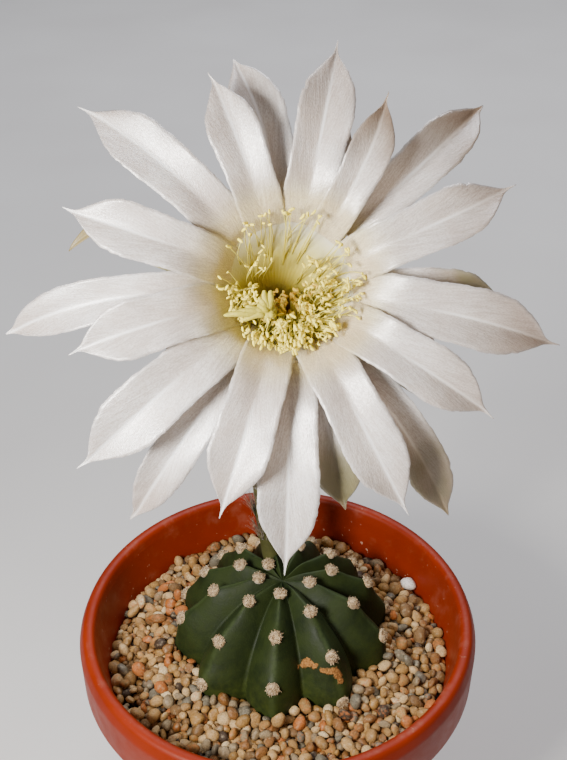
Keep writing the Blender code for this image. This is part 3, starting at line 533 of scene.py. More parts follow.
def felt_pads(places):
    """Low domes of felted wool under the hairs."""
    pads = [point + normal * np.array(PAD_RISES)[:, None] for point, normal in places]
    radii = np.array([PAD_WIDTHS]) * AREOLE_RADIUS
    return strands(np.array(pads), np.repeat(radii, len(pads), 0), 14)


def areole_spines(places, rng):
    """Short stiff spines in the middle of each pad."""
    paths = []
    for point, normal in places:
        for _ in range(SPINES_EACH):
            aim = unit(normal + rng.normal(0, 0.45, 3))
            paths.append(point + aim * np.array(SPINE_RISES)[:, None] * rng.uniform(0.8, 1.15))
    paths = np.array(paths)
    return strands(paths, np.repeat([SPINE_RADII], len(paths), 0), 4)


def curled_wool():
    """Matt curled wool, mottled at random in grey-brown, off-white and paler tones."""
    made, tree, shader, place = finish(
        "areole_wool_curled", roughness=0.95, sheen_weight=0.35, sheen_roughness=0.4
    )
    tone = add(tree, "TexNoise", [place, 1 / 1.1, 2.0, 0.6])
    base = add(tree, "ValToRGB", [tone], stops=[(0.3, WOOL_SHADE), (0.48, WOOL), (0.7, WOOL_PALE)])
    dress(tree, shader, base, [(add(tree, "TexNoise", [place, 1 / 0.35]), 0.12)])
    return made


def horny_spine():
    """Smooth horn-brown spine, paler in patches."""
    made, tree, shader, place = finish("areole_spine_horny", roughness=0.5)
    tone = add(tree, "TexNoise", [place, 1 / 1.5, 1.0])
    dress(tree, shader, add(tree, "ValToRGB", [tone], stops=[(0.35, SPINE_BROWN), (0.7, SPINE_PALE)]))
    return made


wool_rng = np.random.default_rng(21)
FLOWER_ROOT = np.array([-2.3, 17.0, 109.5])
HIDDEN_REACH = 6.5  # the areole that the flower grew from is hidden under its tube
areoles = [a for a in areole_places() if np.linalg.norm(a[0] - FLOWER_ROOT) > HIDDEN_REACH]
hair_points, hair_faces = lofted(wool_hairs(areoles, wool_rng))
pad_points, pad_faces = lofted(felt_pads(areoles))
shifted = [[k + len(hair_points) for k in face] for face in pad_faces]
wool = mesh_piece("areole_wool", np.r_[hair_points, pad_points], hair_faces + shifted, curled_wool())
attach(wool, "root")
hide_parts("cactus_stem")
spines = mesh_piece("areole_spines", *lofted(areole_spines(areoles, wool_rng)), horny_spine())
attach(spines, "root")
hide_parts("cactus_stem")


# The gravel: washed river grit of 3 to 4 mm, poured round the plant and left as it fell.
# Most stones are tan, some orange with iron, grey or nearly black, and one by the wall is white.

STONE_MEAN = 1.72
STONE_COUNT = 1750
STONE_BED = 80.2
STONE_RING = (28.0, 55.0)  # the ring between stem and wall over which the stones are poured
STONE_EDGE = 57.6
STONE_TOUCH = 0.86  # two stones rest at this share of their radii, because they are not round
STONE_PUSH = 0.32
STONE_SINK = 0.12
SETTLE_STEPS = 60
STONES_DEEP = 5.2  # stones further below the top are hidden by those on top
STONE_STRETCH = [(1.0, 1.32), (0.82, 1.02), (0.58, 0.86)]
STONE_SWELLS = [(0.11, 1.9), (0.07, 3.3), (0.035, 6.0)]  # depth as a share of the radius, and waves round it
STONE_BREAKS = 5
WHITE_STONE = (48.0, 31.0)
STONE_TONES = [
    (0.0, "#73532B"), (0.12, "#97723F"), (0.26, "#AE8A54"), (0.38, "#9B743A"), (0.5, "#825626"),
    (0.58, "#A86126"), (0.66, "#C2A372"), (0.76, "#6A6250"), (0.83, "#877456"), (0.9, "#3E2D1D"),
    (0.94, "#CDB68A"), (0.99, "#F2EEE6"),
]
STONE_SPECKLE = "#6E5843"
STONE_CRUST = "#DCC9A4"
STONE_RUST = "#B0662C"
TINTED = {"data_type": "RGBA", "blend_type": "MULTIPLY"}  # a colour mix that darkens like a glaze


def stem_radius(azimuth, rows):
    """How far the skin stands out from the cactus's middle towards an azimuth, at the gravel."""
    middle = np.array([CACTUS_X, CACTUS_Y])
    side = rows[..., :2] - middle
    far = np.linalg.norm(side, axis=-1).max(0)
    angles = np.arctan2(side[0, :, 1], side[0, :, 0])
    order = np.argsort(angles)
    return np.interp(azimuth, angles[order], far[order], period=2 * np.pi)


def settled_stones(rng):
    """Middles and radii of stones, dropped at random and pushed apart until they lie on each other."""
    size = STONE_MEAN * np.clip(rng.lognormal(0, 0.22, STONE_COUNT), 0.62, 1.6)
    angle = rng.uniform(0, 2 * np.pi, STONE_COUNT)
    out = np.sqrt(rng.uniform(STONE_RING[0] ** 2, STONE_RING[1] ** 2, STONE_COUNT))
    height = rng.uniform(STONE_BED, GRAVEL_TOP + 2, STONE_COUNT)
    at = np.c_[out * np.cos(angle), out * np.sin(angle), height]
    curve_height = skin_points[:, 0, 2]
    rows = skin_points[(curve_height > STONE_BED) & (curve_height < GRAVEL_TOP + 4)]
    middle = np.array([CACTUS_X, CACTUS_Y])
    for _ in range(SETTLE_STEPS):
        tree = KDTree(STONE_COUNT)
        for k, place in enumerate(at):
            tree.insert(place, k)
        tree.balance()
        push = np.zeros_like(at)
        for k in range(STONE_COUNT):
            for place, j, gap in tree.find_range(at[k], 2 * STONE_MEAN * 1.3):
                need = (size[k] + size[j]) * STONE_TOUCH
                if j != k and gap < need:
                    push[k] += (at[k] - at[j]) / max(gap, 0.05) * (need - gap) * STONE_PUSH
        at += push
        at[:, 2] -= STONE_SINK
        at[:, 2] = np.maximum(at[:, 2], STONE_BED + size * 0.7)
        side = at[:, :2] - middle
        far = np.linalg.norm(side, axis=1)
        least = stem_radius(np.arctan2(side[:, 1], side[:, 0]), rows) + size * 0.72
        at[:, :2] = middle + side * (np.maximum(far, least) / far)[:, None]
        from_axis = np.linalg.norm(at[:, :2], axis=1)
        wall = np.interp(at[:, 2], [SHOULDER_Z, GRAVEL_TOP + 3], [SHOULDER_RADIUS, STONE_EDGE])
        most = wall - size * 0.85
        at[:, :2] *= (np.minimum(from_axis, most) / from_axis)[:, None]
    return at, size


def gravel_stones(rng):
    """Points, faces and tones of the stones, each a rounded lump turned its own way."""
    ball = bmesh.new()
    bmesh.ops.create_icosphere(ball, subdivisions=2, radius=1)
    shape = np.array([v.co for v in ball.verts])
    faces = np.array([[v.index for v in face.verts] for face in ball.faces])
    ball.free()
    at, size = settled_stones(rng)
    keep = at[:, 2] > GRAVEL_TOP - STONES_DEEP
    at, size = at[keep], size[keep]
    count = len(at)
    stretch = np.stack([rng.uniform(*span, count) for span in STONE_STRETCH], -1)
    lumps = np.repeat(shape[None], count, 0)
    swell = np.ones((count, len(shape)))
    for strength, pitch in STONE_SWELLS:
        wave = rng.normal(0, 1, (count, 3)) * pitch / 1.7
        swell += strength * np.sin(np.einsum("cvk,ck->cv", lumps, wave) + rng.uniform(0, 6.3, (count, 1)))
    lumps = lumps * swell[..., None]
    # Old breaks, worn flat: each stone is cut back by a few planes.
    for _ in range(STONE_BREAKS):
        plane = unit(rng.normal(0, 1, (count, 3)))
        over = np.einsum("cvk,ck->cv", lumps, plane) - rng.uniform(0.66, 0.95, (count, 1))
        lumps = lumps - np.clip(over, 0, None)[..., None] * plane[:, None] * 0.85
    lumps = lumps * stretch[:, None] * size[:, None, None]
    turns = rng.normal(0, 1, (count, 4))
    turns[:, 1:3] *= 0.45  # a stone comes to rest on a flat side
    w, x, y, z = unit(turns).T
    turn = np.array([
        [1 - 2 * (y * y + z * z), 2 * (x * y - z * w), 2 * (x * z + y * w)],
        [2 * (x * y + z * w), 1 - 2 * (x * x + z * z), 2 * (y * z - x * w)],
        [2 * (x * z - y * w), 2 * (y * z + x * w), 1 - 2 * (x * x + y * y)],
    ]).transpose(2, 0, 1)
    points = np.einsum("cij,cvj->cvi", turn, lumps) + at[:, None]
    tone = rng.uniform(0, 0.985, (count, 3))
    top = at[:, 2] > GRAVEL_TOP - 1
    tone[np.argmin(np.linalg.norm(at[:, :2] - WHITE_STONE, axis=1) + 50 * ~top), 0] = 1.0
    faces = faces[None] + np.arange(count)[:, None, None] * len(shape)
    return points.reshape(-1, 3), faces.reshape(-1, 3).tolist(), np.repeat(tone, len(shape), 0)


def river_grit():
    """Dry water-worn stone: each its own colour, with fine speckle and pits, matt with a slight polish."""
    made, tree, shader, place = finish("river_grit_washed", roughness=0.72)
    stone = add(tree, "Attribute", [], "Vector", attribute_name="stone")
    tone, iron, polish = add(tree, "SeparateXYZ", [stone], ["X", "Y", "Z"])
    base = add(tree, "ValToRGB", [tone], stops=STONE_TONES)
    base.node.color_ramp.interpolation = "CONSTANT"
    apart = add(tree, "VectorMath", [stone, 60.0], operation="SCALE")
    inside = add(tree, "VectorMath", [place, apart], operation="ADD")
    grain = add(tree, "TexNoise", [inside, 1 / 0.45, 3.0, 0.7])
    speckle = add(tree, "MapRange", [grain, 0.42, 0.66, 0.0, 0.45], **SMOOTH)
    base = add(tree, "Mix", [speckle, base, STONE_SPECKLE], **TINTED)
    pale = add(tree, "TexNoise", [inside, 1 / 1.3, 3.0, 0.6])
    crust = add(tree, "MapRange", [pale, 0.5, 0.75, 0.0, 0.3], **SMOOTH)
    base = add(tree, "Mix", [crust, base, STONE_CRUST], **COLOURS)
    stain = add(tree, "MapRange", [add(tree, "TexNoise", [inside, 1 / 1.0]), 0.45, 0.65], **SMOOTH)
    rust = add(tree, "Math", [add(tree, "MapRange", [iron, 0.7, 0.9], **SMOOTH), stain], **TIMES)
    base = add(tree, "Mix", [add(tree, "Math", [rust, 0.6], **TIMES), base, STONE_RUST], **COLOURS)
    rough = add(tree, "MapRange", [polish, 0.0, 1.0, 0.55, 0.85], **SMOOTH)
    dress(tree, shader, base, [(add(tree, "TexNoise", [inside, 1 / 0.9]), 0.14), (grain, 0.05)], rough)
    return made


stone_points, stone_faces, stone_tones = gravel_stones(np.random.default_rng(7))
gravel = mesh_piece("gravel_stones", stone_points, stone_faces, river_grit(), {"stone": stone_tones})
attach(gravel, "root")
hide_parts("gravel")


# The flower tube: a fleshy tube grown from an areole behind the crown, which bends forward and opens into
# a funnel. Small green scales lie along it in a spiral, and tufts of grey-brown hair grow from under them.

THROAT = np.array([3.0, -50.8, 248.8])  # middle of the flower's mouth
FACE_ELEVATION = math.radians(33.0)
FACE_TURN = math.radians(2.0)
# Radii of the tube, as (depth below the mouth, radius).
TUBE_OUTSIDE = [
    (6.7, 15.0), (9, 14.2), (13, 12.6), (18, 10.7), (24, 9.1), (32, 7.7), (42, 6.6), (60, 5.9), (85, 5.4),
    (112, 5.2), (138, 4.8), (156, 4.1), (167, 3.5), (174, 2.8),
]
TUBE_INSIDE = [
    (6.7, 13.2), (13, 11.2), (20, 8.6), (28, 6.6), (38, 5.2), (60, 4.2), (85, 3.7), (125, 3.2), (131, 1.4),
]
TUBE_ROOT = Vector(FLOWER_ROOT)
TUBE_STRAIGHT = 34.0
TUBE_BEND = 45.0
TUBE_BOW = Vector((-6.5, 26.0, 160.0))
TUBE_BOW_STEPS = 80
TUBE_RUN_ON = 20.0  # how far its middle line is carried on below its root
TUBE_ROWS = 190
TUBE_SIDES = 56
BORE_DEPTHS = (6.9, 128.0)
BORE_ROWS = 60
SCALES = 58
SCALES_LOWEST, SCALES_RUN = 164.0, 148.0  # depth of the lowest scale, and how far they reach up from there
SCALE_WIDTHS = np.array([0.75, 0.98, 1.0, 0.93, 0.8, 0.62, 0.42, 0.22, 0.05])
SCALE_THICK = 0.22
GOLDEN_ANGLE = math.radians(137.5)
HAIRS_EACH = 42
HAIR_POINTS = 9
HAIR_RADII = (0.07, 0.025)
TUBE_GREEN = "#50502A"
TUBE_OLIVE = "#6F6A35"
TUBE_BROWN = "#6B4A30"
TUBE_BASE = "#40401F"
TUBE_LINING = "#A99A45"
SCALE_TIP = "#7A4630"
HAIR_BROWN = "#5E4A3A"
HAIR_PALE = "#A8937C"


def bloom_frame():
    """Turn and place of the flower's own frame: X to its right, Y up its face and Z out of its throat."""
    level = math.cos(FACE_ELEVATION)
    facing = np.array([math.sin(FACE_TURN) * level, -math.cos(FACE_TURN) * level, math.sin(FACE_ELEVATION)])
    right = np.array([math.cos(FACE_TURN), math.sin(FACE_TURN), 0.0])
    return np.c_[right, np.cross(facing, right), facing]


BLOOM_TURN = bloom_frame()


def in_bloom(points):
    """Points given in the flower's own frame, placed in the frame of the CAD model."""
    return points @ BLOOM_TURN.T + THROAT


def tube_middle(depths):
    """Points along the middle of the tube at depths below the throat, and its directions towards the root."""
    facing = Vector(BLOOM_TURN[:, 2])
    start = Vector(THROAT)
    bend = start - facing * TUBE_STRAIGHT
    handles = [bend, bend - facing * TUBE_BEND, TUBE_BOW, TUBE_ROOT]
    points = [start, bend]
    for i in range(1, TUBE_BOW_STEPS + 1):
        t = i / TUBE_BOW_STEPS
        weights = [(1 - t) ** 3, 3 * t * (1 - t) ** 2, 3 * t**2 * (1 - t), t**3]
        points.append(sum((h * w for h, w in zip(handles, weights)), Vector()))
    table = np.array(points)
    lengths = np.r_[0, np.cumsum(np.linalg.norm(np.diff(table, axis=0), axis=1))]
    end = unit(table[-1] - table[-2])
    table = np.r_[table, [table[-1] + end * TUBE_RUN_ON]]
    lengths = np.r_[lengths, lengths[-1] + TUBE_RUN_ON]
    place = np.stack([np.interp(depths, lengths, table[:, k]) for k in range(3)], -1)
    ahead = np.stack([np.interp(np.asarray(depths) + 1.5, lengths, table[:, k]) for k in range(3)], -1)
    behind = np.stack([np.interp(np.asarray(depths) - 1.5, lengths, table[:, k]) for k in range(3)], -1)
    return place, unit(ahead - behind)


def tube_frame(depths):
    """Middle, direction, and two directions across the tube at each depth, without twist."""
    middle, along = tube_middle(depths)
    right = np.array([1.0, 0.0, 0.0])
    across = unit(right - along * (along @ right)[:, None])
    return middle, along, across, np.cross(along, across)


def smooth_radius(profile, depths):
    """Radius from a profile of (depth, radius), with its corners smoothed."""
    d, r = np.array(profile).T
    spread = np.linspace(-2.5, 2.5, 5)
    return np.mean([np.interp(np.asarray(depths) + s, d, r) for s in spread], axis=0)


def scale_places():
    """(depth, turn, length) of each scale, from the root up to the mouth in one spiral."""
    share = (np.arange(SCALES) + 0.5) / SCALES
    return np.c_[SCALES_LOWEST - SCALES_RUN * share, GOLDEN_ANGLE * np.arange(SCALES), 4.2 + 7.5 * share**1.3]


def flower_tube_shell():
    """The outside of the tube, swollen below each scale, round its mouth and down its open inside."""
    depths = np.linspace(TUBE_OUTSIDE[-1][0], TUBE_OUTSIDE[0][0], TUBE_ROWS)
    radius = smooth_radius(TUBE_OUTSIDE, depths)
    radius[-4:] = np.interp(depths[-4:], *zip(*TUBE_OUTSIDE))
    turn = np.arange(TUBE_SIDES) * 2 * np.pi / TUBE_SIDES
    swell = np.zeros((len(depths), TUBE_SIDES))
    for depth, angle, length in scale_places():
        around = np.angle(np.exp(1j * (turn - angle)))[None, :] * radius[:, None]
        down = depths[:, None] - depth
        wide = 1.0 + 0.10 * length
        off = np.where(down > 0, down / (0.9 * length), -down)
        swell += 0.55 * np.exp(-(around / wide) ** 2) * np.exp(-off ** 2)
    outside = radius[:, None] + np.minimum(swell, 0.8) - 0.35
    inner_depths = np.linspace(*BORE_DEPTHS, BORE_ROWS)
    inner = np.repeat(smooth_radius(TUBE_INSIDE, inner_depths)[:, None], TUBE_SIDES, 1)
    every = np.r_[depths, inner_depths]
    middle, _, across, up = tube_frame(every)
    radii = np.r_[outside, inner]
    ring = across[:, None] * np.cos(turn)[None, :, None] + up[:, None] * np.sin(turn)[None, :, None]
    points = middle[:, None] + ring * radii[..., None]
    marks = np.zeros(points.shape)
    marks[..., 0] = every[:, None]
    marks[len(depths):, :, 2] = 1.0
    return points, marks


def tube_scales():
    """Small pointed scales that lie on the tube with their tips free."""
    rows, steps = len(SCALE_WIDTHS), 9
    rings, marks = [], []
    for depth, turn, length in scale_places():
        share = np.linspace(0, 1, rows)
        depths = depth - length * share
        middle, _, across, up = tube_frame(depths)
        radius = smooth_radius(TUBE_OUTSIDE, depths) + 0.12 + 1.5 * share**2.2
        half = (1.0 + 0.11 * length) * SCALE_WIDTHS
        ring = []
        for top, order in ((1, np.linspace(1, -1, steps)), (-1, np.linspace(-1, 1, steps))):
            for t in order:
                angle = turn + half * t / np.maximum(radius, 3)
                thick = top * SCALE_THICK * (1 - 0.7 * t * t) * (1 - 0.5 * share)
                keel = 0.35 * (1 - abs(t)) * (1 - share)
                outward = across * np.cos(angle)[:, None] + up * np.sin(angle)[:, None]
                ring.append(middle + outward * (radius + thick + keel)[:, None])
        rings.append(np.stack(ring[::-1], 1))
        mark = np.zeros((rows, 2 * steps, 3))
        mark[..., 0], mark[..., 1] = depths[:, None], share[:, None]
        marks.append(mark)
    return np.array(rings), np.array(marks)


def axil_hairs(rng):
    """Wavy hairs from under each scale, lying up along the tube and lifting away from it."""
    paths = []
    share = np.linspace(0, 1, HAIR_POINTS)
    for depth, turn, length in scale_places():
        size = rng.uniform(0.75, 1.5, HAIRS_EACH) * (5.0 + 0.45 * length)
        root_turn = turn + rng.normal(0, 0.9, HAIRS_EACH) / np.interp(depth, *zip(*TUBE_OUTSIDE))
        lift = np.abs(rng.normal(1.6, 1.3, HAIRS_EACH)) + 0.4
        drift = rng.normal(0, 0.28, HAIRS_EACH)
        phase, pace = rng.uniform(0, 6.3, (2, HAIRS_EACH)) * [[1.0], [0.6]]
        for k in range(HAIRS_EACH):
            depths = depth + 0.5 - size[k] * share
            middle, _, across, up = tube_frame(depths)
            wave = np.sin(share * (4 + pace[k]) + phase[k])
            angle = root_turn[k] + drift[k] * share + 0.09 * wave * share
            out = smooth_radius(TUBE_OUTSIDE, depths) + 0.1 + lift[k] * share**1.3 + 0.35 * wave * share
            outward = across * np.cos(angle)[:, None] + up * np.sin(angle)[:, None]
            paths.append(middle + outward * out[:, None])
    paths = np.array(paths)
    radii = np.linspace(*HAIR_RADII, HAIR_POINTS)[None] * rng.uniform(0.8, 1.3, (len(paths), 1))
    return strands(paths, radii, 3)


def fleshy_tube():
    """Fleshy green skin that browns towards the flower, satin, with a fine uneven relief."""
    made, tree, shader, place = finish(
        "flower_tube_fleshy", roughness=0.5, subsurface_weight=0.12, subsurface_scale=1.0 * MM,
        subsurface_radius=(0.8, 1.0, 0.4),
    )
    marks = add(tree, "Attribute", [], "Vector", attribute_name="tube")
    depth, tip, inner = add(tree, "SeparateXYZ", [marks], ["X", "Y", "Z"])
    tone = add(tree, "TexNoise", [place, 1 / 4.0, 3.0, 0.6])
    low = add(tree, "ValToRGB", [tone], stops=[(0.35, TUBE_BASE), (0.65, TUBE_GREEN)])
    high = add(tree, "ValToRGB", [tone], stops=[(0.3, TUBE_BROWN), (0.52, TUBE_OLIVE), (0.7, TUBE_GREEN)])
    base = add(tree, "Mix", [add(tree, "MapRange", [depth, 150.0, 60.0], **SMOOTH), low, high], **COLOURS)
    browned = add(tree, "MapRange", [tip, 0.35, 0.95, 0.0, 0.85], **SMOOTH)
    base = add(tree, "Mix", [browned, base, SCALE_TIP], **COLOURS)
    base = add(tree, "Mix", [inner, base, TUBE_LINING], **COLOURS)
    dress(tree, shader, base, [(add(tree, "TexNoise", [place, 1 / 0.8, 3.0]), 0.12)])
    return made


def silky_hair():
    """Silky hair in grey-brown and paler strands, with a soft sheen."""
    made, tree, shader, place = finish("axil_hair_silky", roughness=0.6, sheen_weight=0.3)
    tone = add(tree, "TexNoise", [place, 1 / 3.0])
    dress(tree, shader, add(tree, "ValToRGB", [tone], stops=[(0.35, HAIR_BROWN), (0.7, HAIR_PALE)]))
    return made


def joined(*parts):
    """One list of points, faces and marks from several parts."""
    points, faces, marks, start = [], [], [], 0
    for part_points, part_faces, part_marks in parts:
        points.append(part_points.reshape(-1, 3))
        faces += [[k + start for k in face] for face in part_faces]
        marks.append(part_marks.reshape(-1, 3))
        start += len(points[-1])
    return np.concatenate(points), faces, np.concatenate(marks)


shell_points, shell_marks = flower_tube_shell()
scale_points, scale_marks = tube_scales()
tube_parts = joined(
    (shell_points, lofted(shell_points[None, :, ::-1])[1], shell_marks),
    (scale_points, lofted(scale_points)[1], scale_marks),
)
tube = mesh_piece("flower_tube_skin", tube_parts[0], tube_parts[1], fleshy_tube(), {"tube": tube_parts[2]})
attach(tube, "root")
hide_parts("flower_tube")
hairs = mesh_piece("flower_tube_hair", *lofted(axil_hairs(np.random.default_rng(5))), silky_hair())
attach(hairs, "root")
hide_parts("flower_tube")


# The sepals: narrow fleshy strips round the outside of the funnel, green below and brown towards their
# points. They curl back when the flower opens.

# Half-width of a blade along its length, as (share of its length, share of its greatest half-width).
SEPAL_OUTLINE = [(0, 0.6), (0.4, 0.85), (0.7, 1.0), (0.84, 0.86), (0.93, 0.6), (0.975, 0.32), (1, 0.05)]
# A layer of blades: its outline, its root (radius, rise), the run of its root into the throat, how far the
# blade is tucked in, its slope where it starts and where it has opened, how fast it bends back, and the power
# of its sideways sweep.
SEPAL = dict(
    outline=SEPAL_OUTLINE, root=(16.6, -7.0), run=3.6, tuck=0.0, start=38, open=8, bend=1.4, swing=5
)
# Each blade: layer, angle round the throat, sideways sweep of the tip, reach from the axis, width, lift and
# twist, and for a petal how strongly it is flushed with olive.
SEPALS = [
    (SEPAL, 155.9, 13.0, 50.5, 3.0, 0, 12), (SEPAL, 69.0, -1.5, 36.2, 5.3, 0, 0),
    (SEPAL, 19.9, 3.0, 39.7, 5.1, 0, 8), (SEPAL, 349.9, -4.0, 37.8, 5.5, 0, 0),
    (SEPAL, 321.9, 2.0, 41.8, 5.1, 0, -8), (SEPAL, 295.9, 0.0, 36.9, 5.1, 0, 5),
    (SEPAL, 262.0, 3.0, 40.9, 5.3, 0, 0), (SEPAL, 224.1, -3.0, 39.9, 5.3, 0, 6),
    (SEPAL, 190.1, 2.0, 37.9, 5.1, 0, -6), (SEPAL, 166.1, -2.0, 33.9, 5.1, 0, 5),
    (SEPAL, 104.1, -2.0, 34.8, 5.1, 0, 0),
]
CHANNEL = 0.42  # depth of the valley along a blade's midrib, as a share of its half-width
RAGGED_EDGE = [(7, 0.009), (13, 0.008), (23, 0.007), (37, 0.005)]  # waves along an edge, and their depths
MIDRIB_STEPS = 120
SEPAL_ROWS, SEPAL_STEPS = 44, 9
SEPAL_THICK = 0.7
SEPAL_GREEN = "#77743F"
SEPAL_SHADE = "#6A6A34"
SEPAL_BROWN = "#7C6C48"
SEPAL_EDGE = "#A29676"


def ease(value):
    """Smooth step from 0 to 1."""
    value = np.clip(value, 0.0, 1.0)
    return value * value * (3 - 2 * value)


def through(table, at):
    """Smooth curve through a table of (place, value)."""
    x, y = np.array(table, float).T
    slope = np.gradient(y, x)
    i = np.clip(np.searchsorted(x, at, side="right") - 1, 0, len(x) - 2)
    h = x[i + 1] - x[i]
    t = (at - x[i]) / h
    return (
        y[i] * (2 * t**3 - 3 * t**2 + 1) + slope[i] * h * (t**3 - 2 * t**2 + t)
        + y[i + 1] * (3 * t**2 - 2 * t**3) + slope[i + 1] * h * (t**3 - t**2)
    )


def midrib(layer, reach, steps):
    """Points (radius, rise) of a blade's midrib, its length found so that its tip is at the given reach."""
    r0, z0 = layer["root"]
    start = math.radians(layer["start"])
    length = reach - r0 + 4
    for _ in range(8):
        far = (np.arange(steps) + 0.5) / steps * length
        lean = layer["open"] - layer["bend"] * far + (layer["start"] - layer["open"]) * np.exp(-far / 5)
        lean = np.radians(lean)
        radius = r0 + np.r_[0, np.cumsum(np.cos(lean))] * length / steps
        rise = z0 + np.r_[0, np.cumsum(np.sin(lean))] * length / steps
        length += reach - radius[-1]
    run = (layer["run"] + layer["tuck"]) * np.array([1.0, 0.5])
    return np.c_[np.r_[r0 - math.cos(start) * run, radius], np.r_[z0 - math.sin(start) * run, rise]]


def blade(spec, rows, steps, thick, rng):
    """Rings of points round one blade, from its root to its tip, with three triples of marks on them.

    The first is of (across, along, upper side), the second of (distance from the throat's axis, flush, a
    number of the blade's own), and the third of (share of the length, share of the width, nothing)."""
    layer, angle, swing, reach, width, lift, twist, flush = (*spec, 0.0)[:8]
    line = midrib(layer, reach, MIDRIB_STEPS)
    far = np.r_[0, np.cumsum(np.hypot(*np.diff(line, axis=0).T))]
    length, tuck = far[-1] - layer["tuck"], layer["tuck"]
    place = np.linspace(0, 1, rows) ** 0.92 * far[-1]
    share = np.clip((place - tuck) / length, 0, 1)
    radius = np.interp(place, far, line[:, 0]) - 0.35 * lift * (1 - ease(share / 0.35))
    rise = np.interp(place, far, line[:, 1]) + lift * ease(share / 0.35)
    azimuth = np.radians(angle + swing * share ** layer["swing"])
    hook = ease((share - 0.9) / 0.1) ** 2
    rise = rise + rng.uniform(0.2, 0.9) * hook
    azimuth = azimuth + rng.uniform(-0.008, 0.008) * hook
    middle = np.c_[radius * np.cos(azimuth), radius * np.sin(azimuth), rise]
    forward = unit(np.gradient(middle, axis=0))
    sideways = unit(np.cross([0.0, 0.0, 1.0], forward))
    upward = np.cross(forward, sideways)
    roll = np.radians(twist) * share[:, None]
    turned_side = sideways * np.cos(roll) + upward * np.sin(roll)
    sideways, upward = turned_side, upward * np.cos(roll) - sideways * np.sin(roll)
    free = ease(share / 0.3)[:, None]
    phase = rng.uniform(0, 2 * np.pi, 6)
    pace = rng.uniform(2.2, 4.2, 2)
    spans = []
    for sign in (-1, 1):
        ragged = sum(
            size * np.sin(2 * np.pi * (beat + sign) * share + phase[2] * beat * sign)
            for beat, size in RAGGED_EDGE
        )
        notch_at, notch = rng.uniform(0.62, 0.8), rng.uniform(0.0, 0.07)
        ragged = ragged - notch * np.exp(-(((share - notch_at) / 0.01) ** 2))
        spans.append(width / 2 * np.maximum(through(layer["outline"], share) * (1 + ragged), 0.012))
    ring, marks, seats, shares = [], [], [], []
    own = rng.uniform(0, 1)
    ones = np.ones_like(share)
    for top, order in ((1, np.linspace(1, -1, steps)), (-1, np.linspace(-1, 1, steps))):
        for t in order:
            t = math.copysign(abs(t) ** 1.25, t)
            half = spans[1] if t > 0 else spans[0]
            speed, wave = (pace[1], phase[1]) if t > 0 else (pace[0], phase[0])
            valley = 1.35 * (math.sqrt(t * t + 0.02) - math.sqrt(0.02)) - 0.32 * t * t
            frill = 0.3 * abs(t) ** 3 * np.sin(2 * np.pi * speed * share + wave) * ease(share / 0.5)
            belly = 0.22 * math.sin(math.pi * t) * np.sin(2 * np.pi * 0.9 * share + phase[3])
            waves = (frill + belly * ease(share / 0.4)) * ease((1 - share) / 0.15)
            up = (half * CHANNEL * valley + waves)[:, None] * free
            flat = middle + sideways * (half * t)[:, None] + upward * up
            bent = azimuth + half * t / radius
            hugging = np.c_[radius * np.cos(bent), radius * np.sin(bent), middle[:, 2]]
            skin = top * thick / 2 * (1 - 0.8 * abs(t) ** 3) * (1 - 0.55 * share)
            point = hugging * (1 - free) + flat * free + upward * skin[:, None]
            ring.append(point)
            marks.append(np.c_[half * t, place, top * ones])
            seats.append(np.c_[np.hypot(point[:, 0], point[:, 1]), flush * ones, own * ones])
            shares.append(np.c_[share, abs(t) * ones, 0 * ones])
    return np.stack(ring, 1), np.stack(marks, 1), np.stack(seats, 1), np.stack(shares, 1)


def blades(name, specs, rows, steps, thick, seed, look):
    """A piece made of several blades, placed on the flower."""
    rng = np.random.default_rng(seed)
    made = zip(*[blade(spec, rows, steps, thick, rng) for spec in specs])
    rings, marks, seats, shares = (np.array(part) for part in made)
    named = {"blade": marks.reshape(-1, 3), "seat": seats.reshape(-1, 3), "share": shares.reshape(-1, 3)}
    return mesh_piece(name, in_bloom(rings.reshape(-1, 3)), lofted(rings)[1], look, named)


def fleshy_sepal():
    """Fleshy strip, olive green at its root and brown towards its point, with pale edges."""
    made, tree, shader, place = finish(
        "sepal_fleshy", roughness=0.5, subsurface_weight=0.15, subsurface_scale=0.8 * MM,
        subsurface_radius=(1.0, 1.0, 0.5),
    )
    marks = add(tree, "Attribute", [], "Vector", attribute_name="blade")
    across, along = add(tree, "SeparateXYZ", [marks], ["X", "Y"])
    tone = add(tree, "TexNoise", [place, 1 / 3.0, 3.0, 0.6])
    base = add(tree, "ValToRGB", [tone], stops=[(0.3, SEPAL_SHADE), (0.65, SEPAL_GREEN)])
    browned = add(tree, "MapRange", [along, 14.0, 36.0, 0.0, 0.85], **SMOOTH)
    base = add(tree, "Mix", [browned, base, SEPAL_BROWN], **COLOURS)
    from_keel = add(tree, "Math", [across], operation="ABSOLUTE")
    edge = add(tree, "MapRange", [from_keel, 1.2, 2.4, 0.0, 0.45], **SMOOTH)
    base = add(tree, "Mix", [edge, base, SEPAL_EDGE], **COLOURS)
    dress(tree, shader, base, [(add(tree, "TexNoise", [place, 1 / 0.7, 3.0]), 0.08)])
    return made


sepals = blades("sepals", SEPALS, SEPAL_ROWS, SEPAL_STEPS, SEPAL_THICK, 31, fleshy_sepal())
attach(sepals, "root")
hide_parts("flower_tube")


# The petals: two whorls grown together at the throat, thin and translucent white, with a fold along the
# midrib, fine lengthwise veins and an awned tip. The outer whorl is flushed olive on its back and its tips.

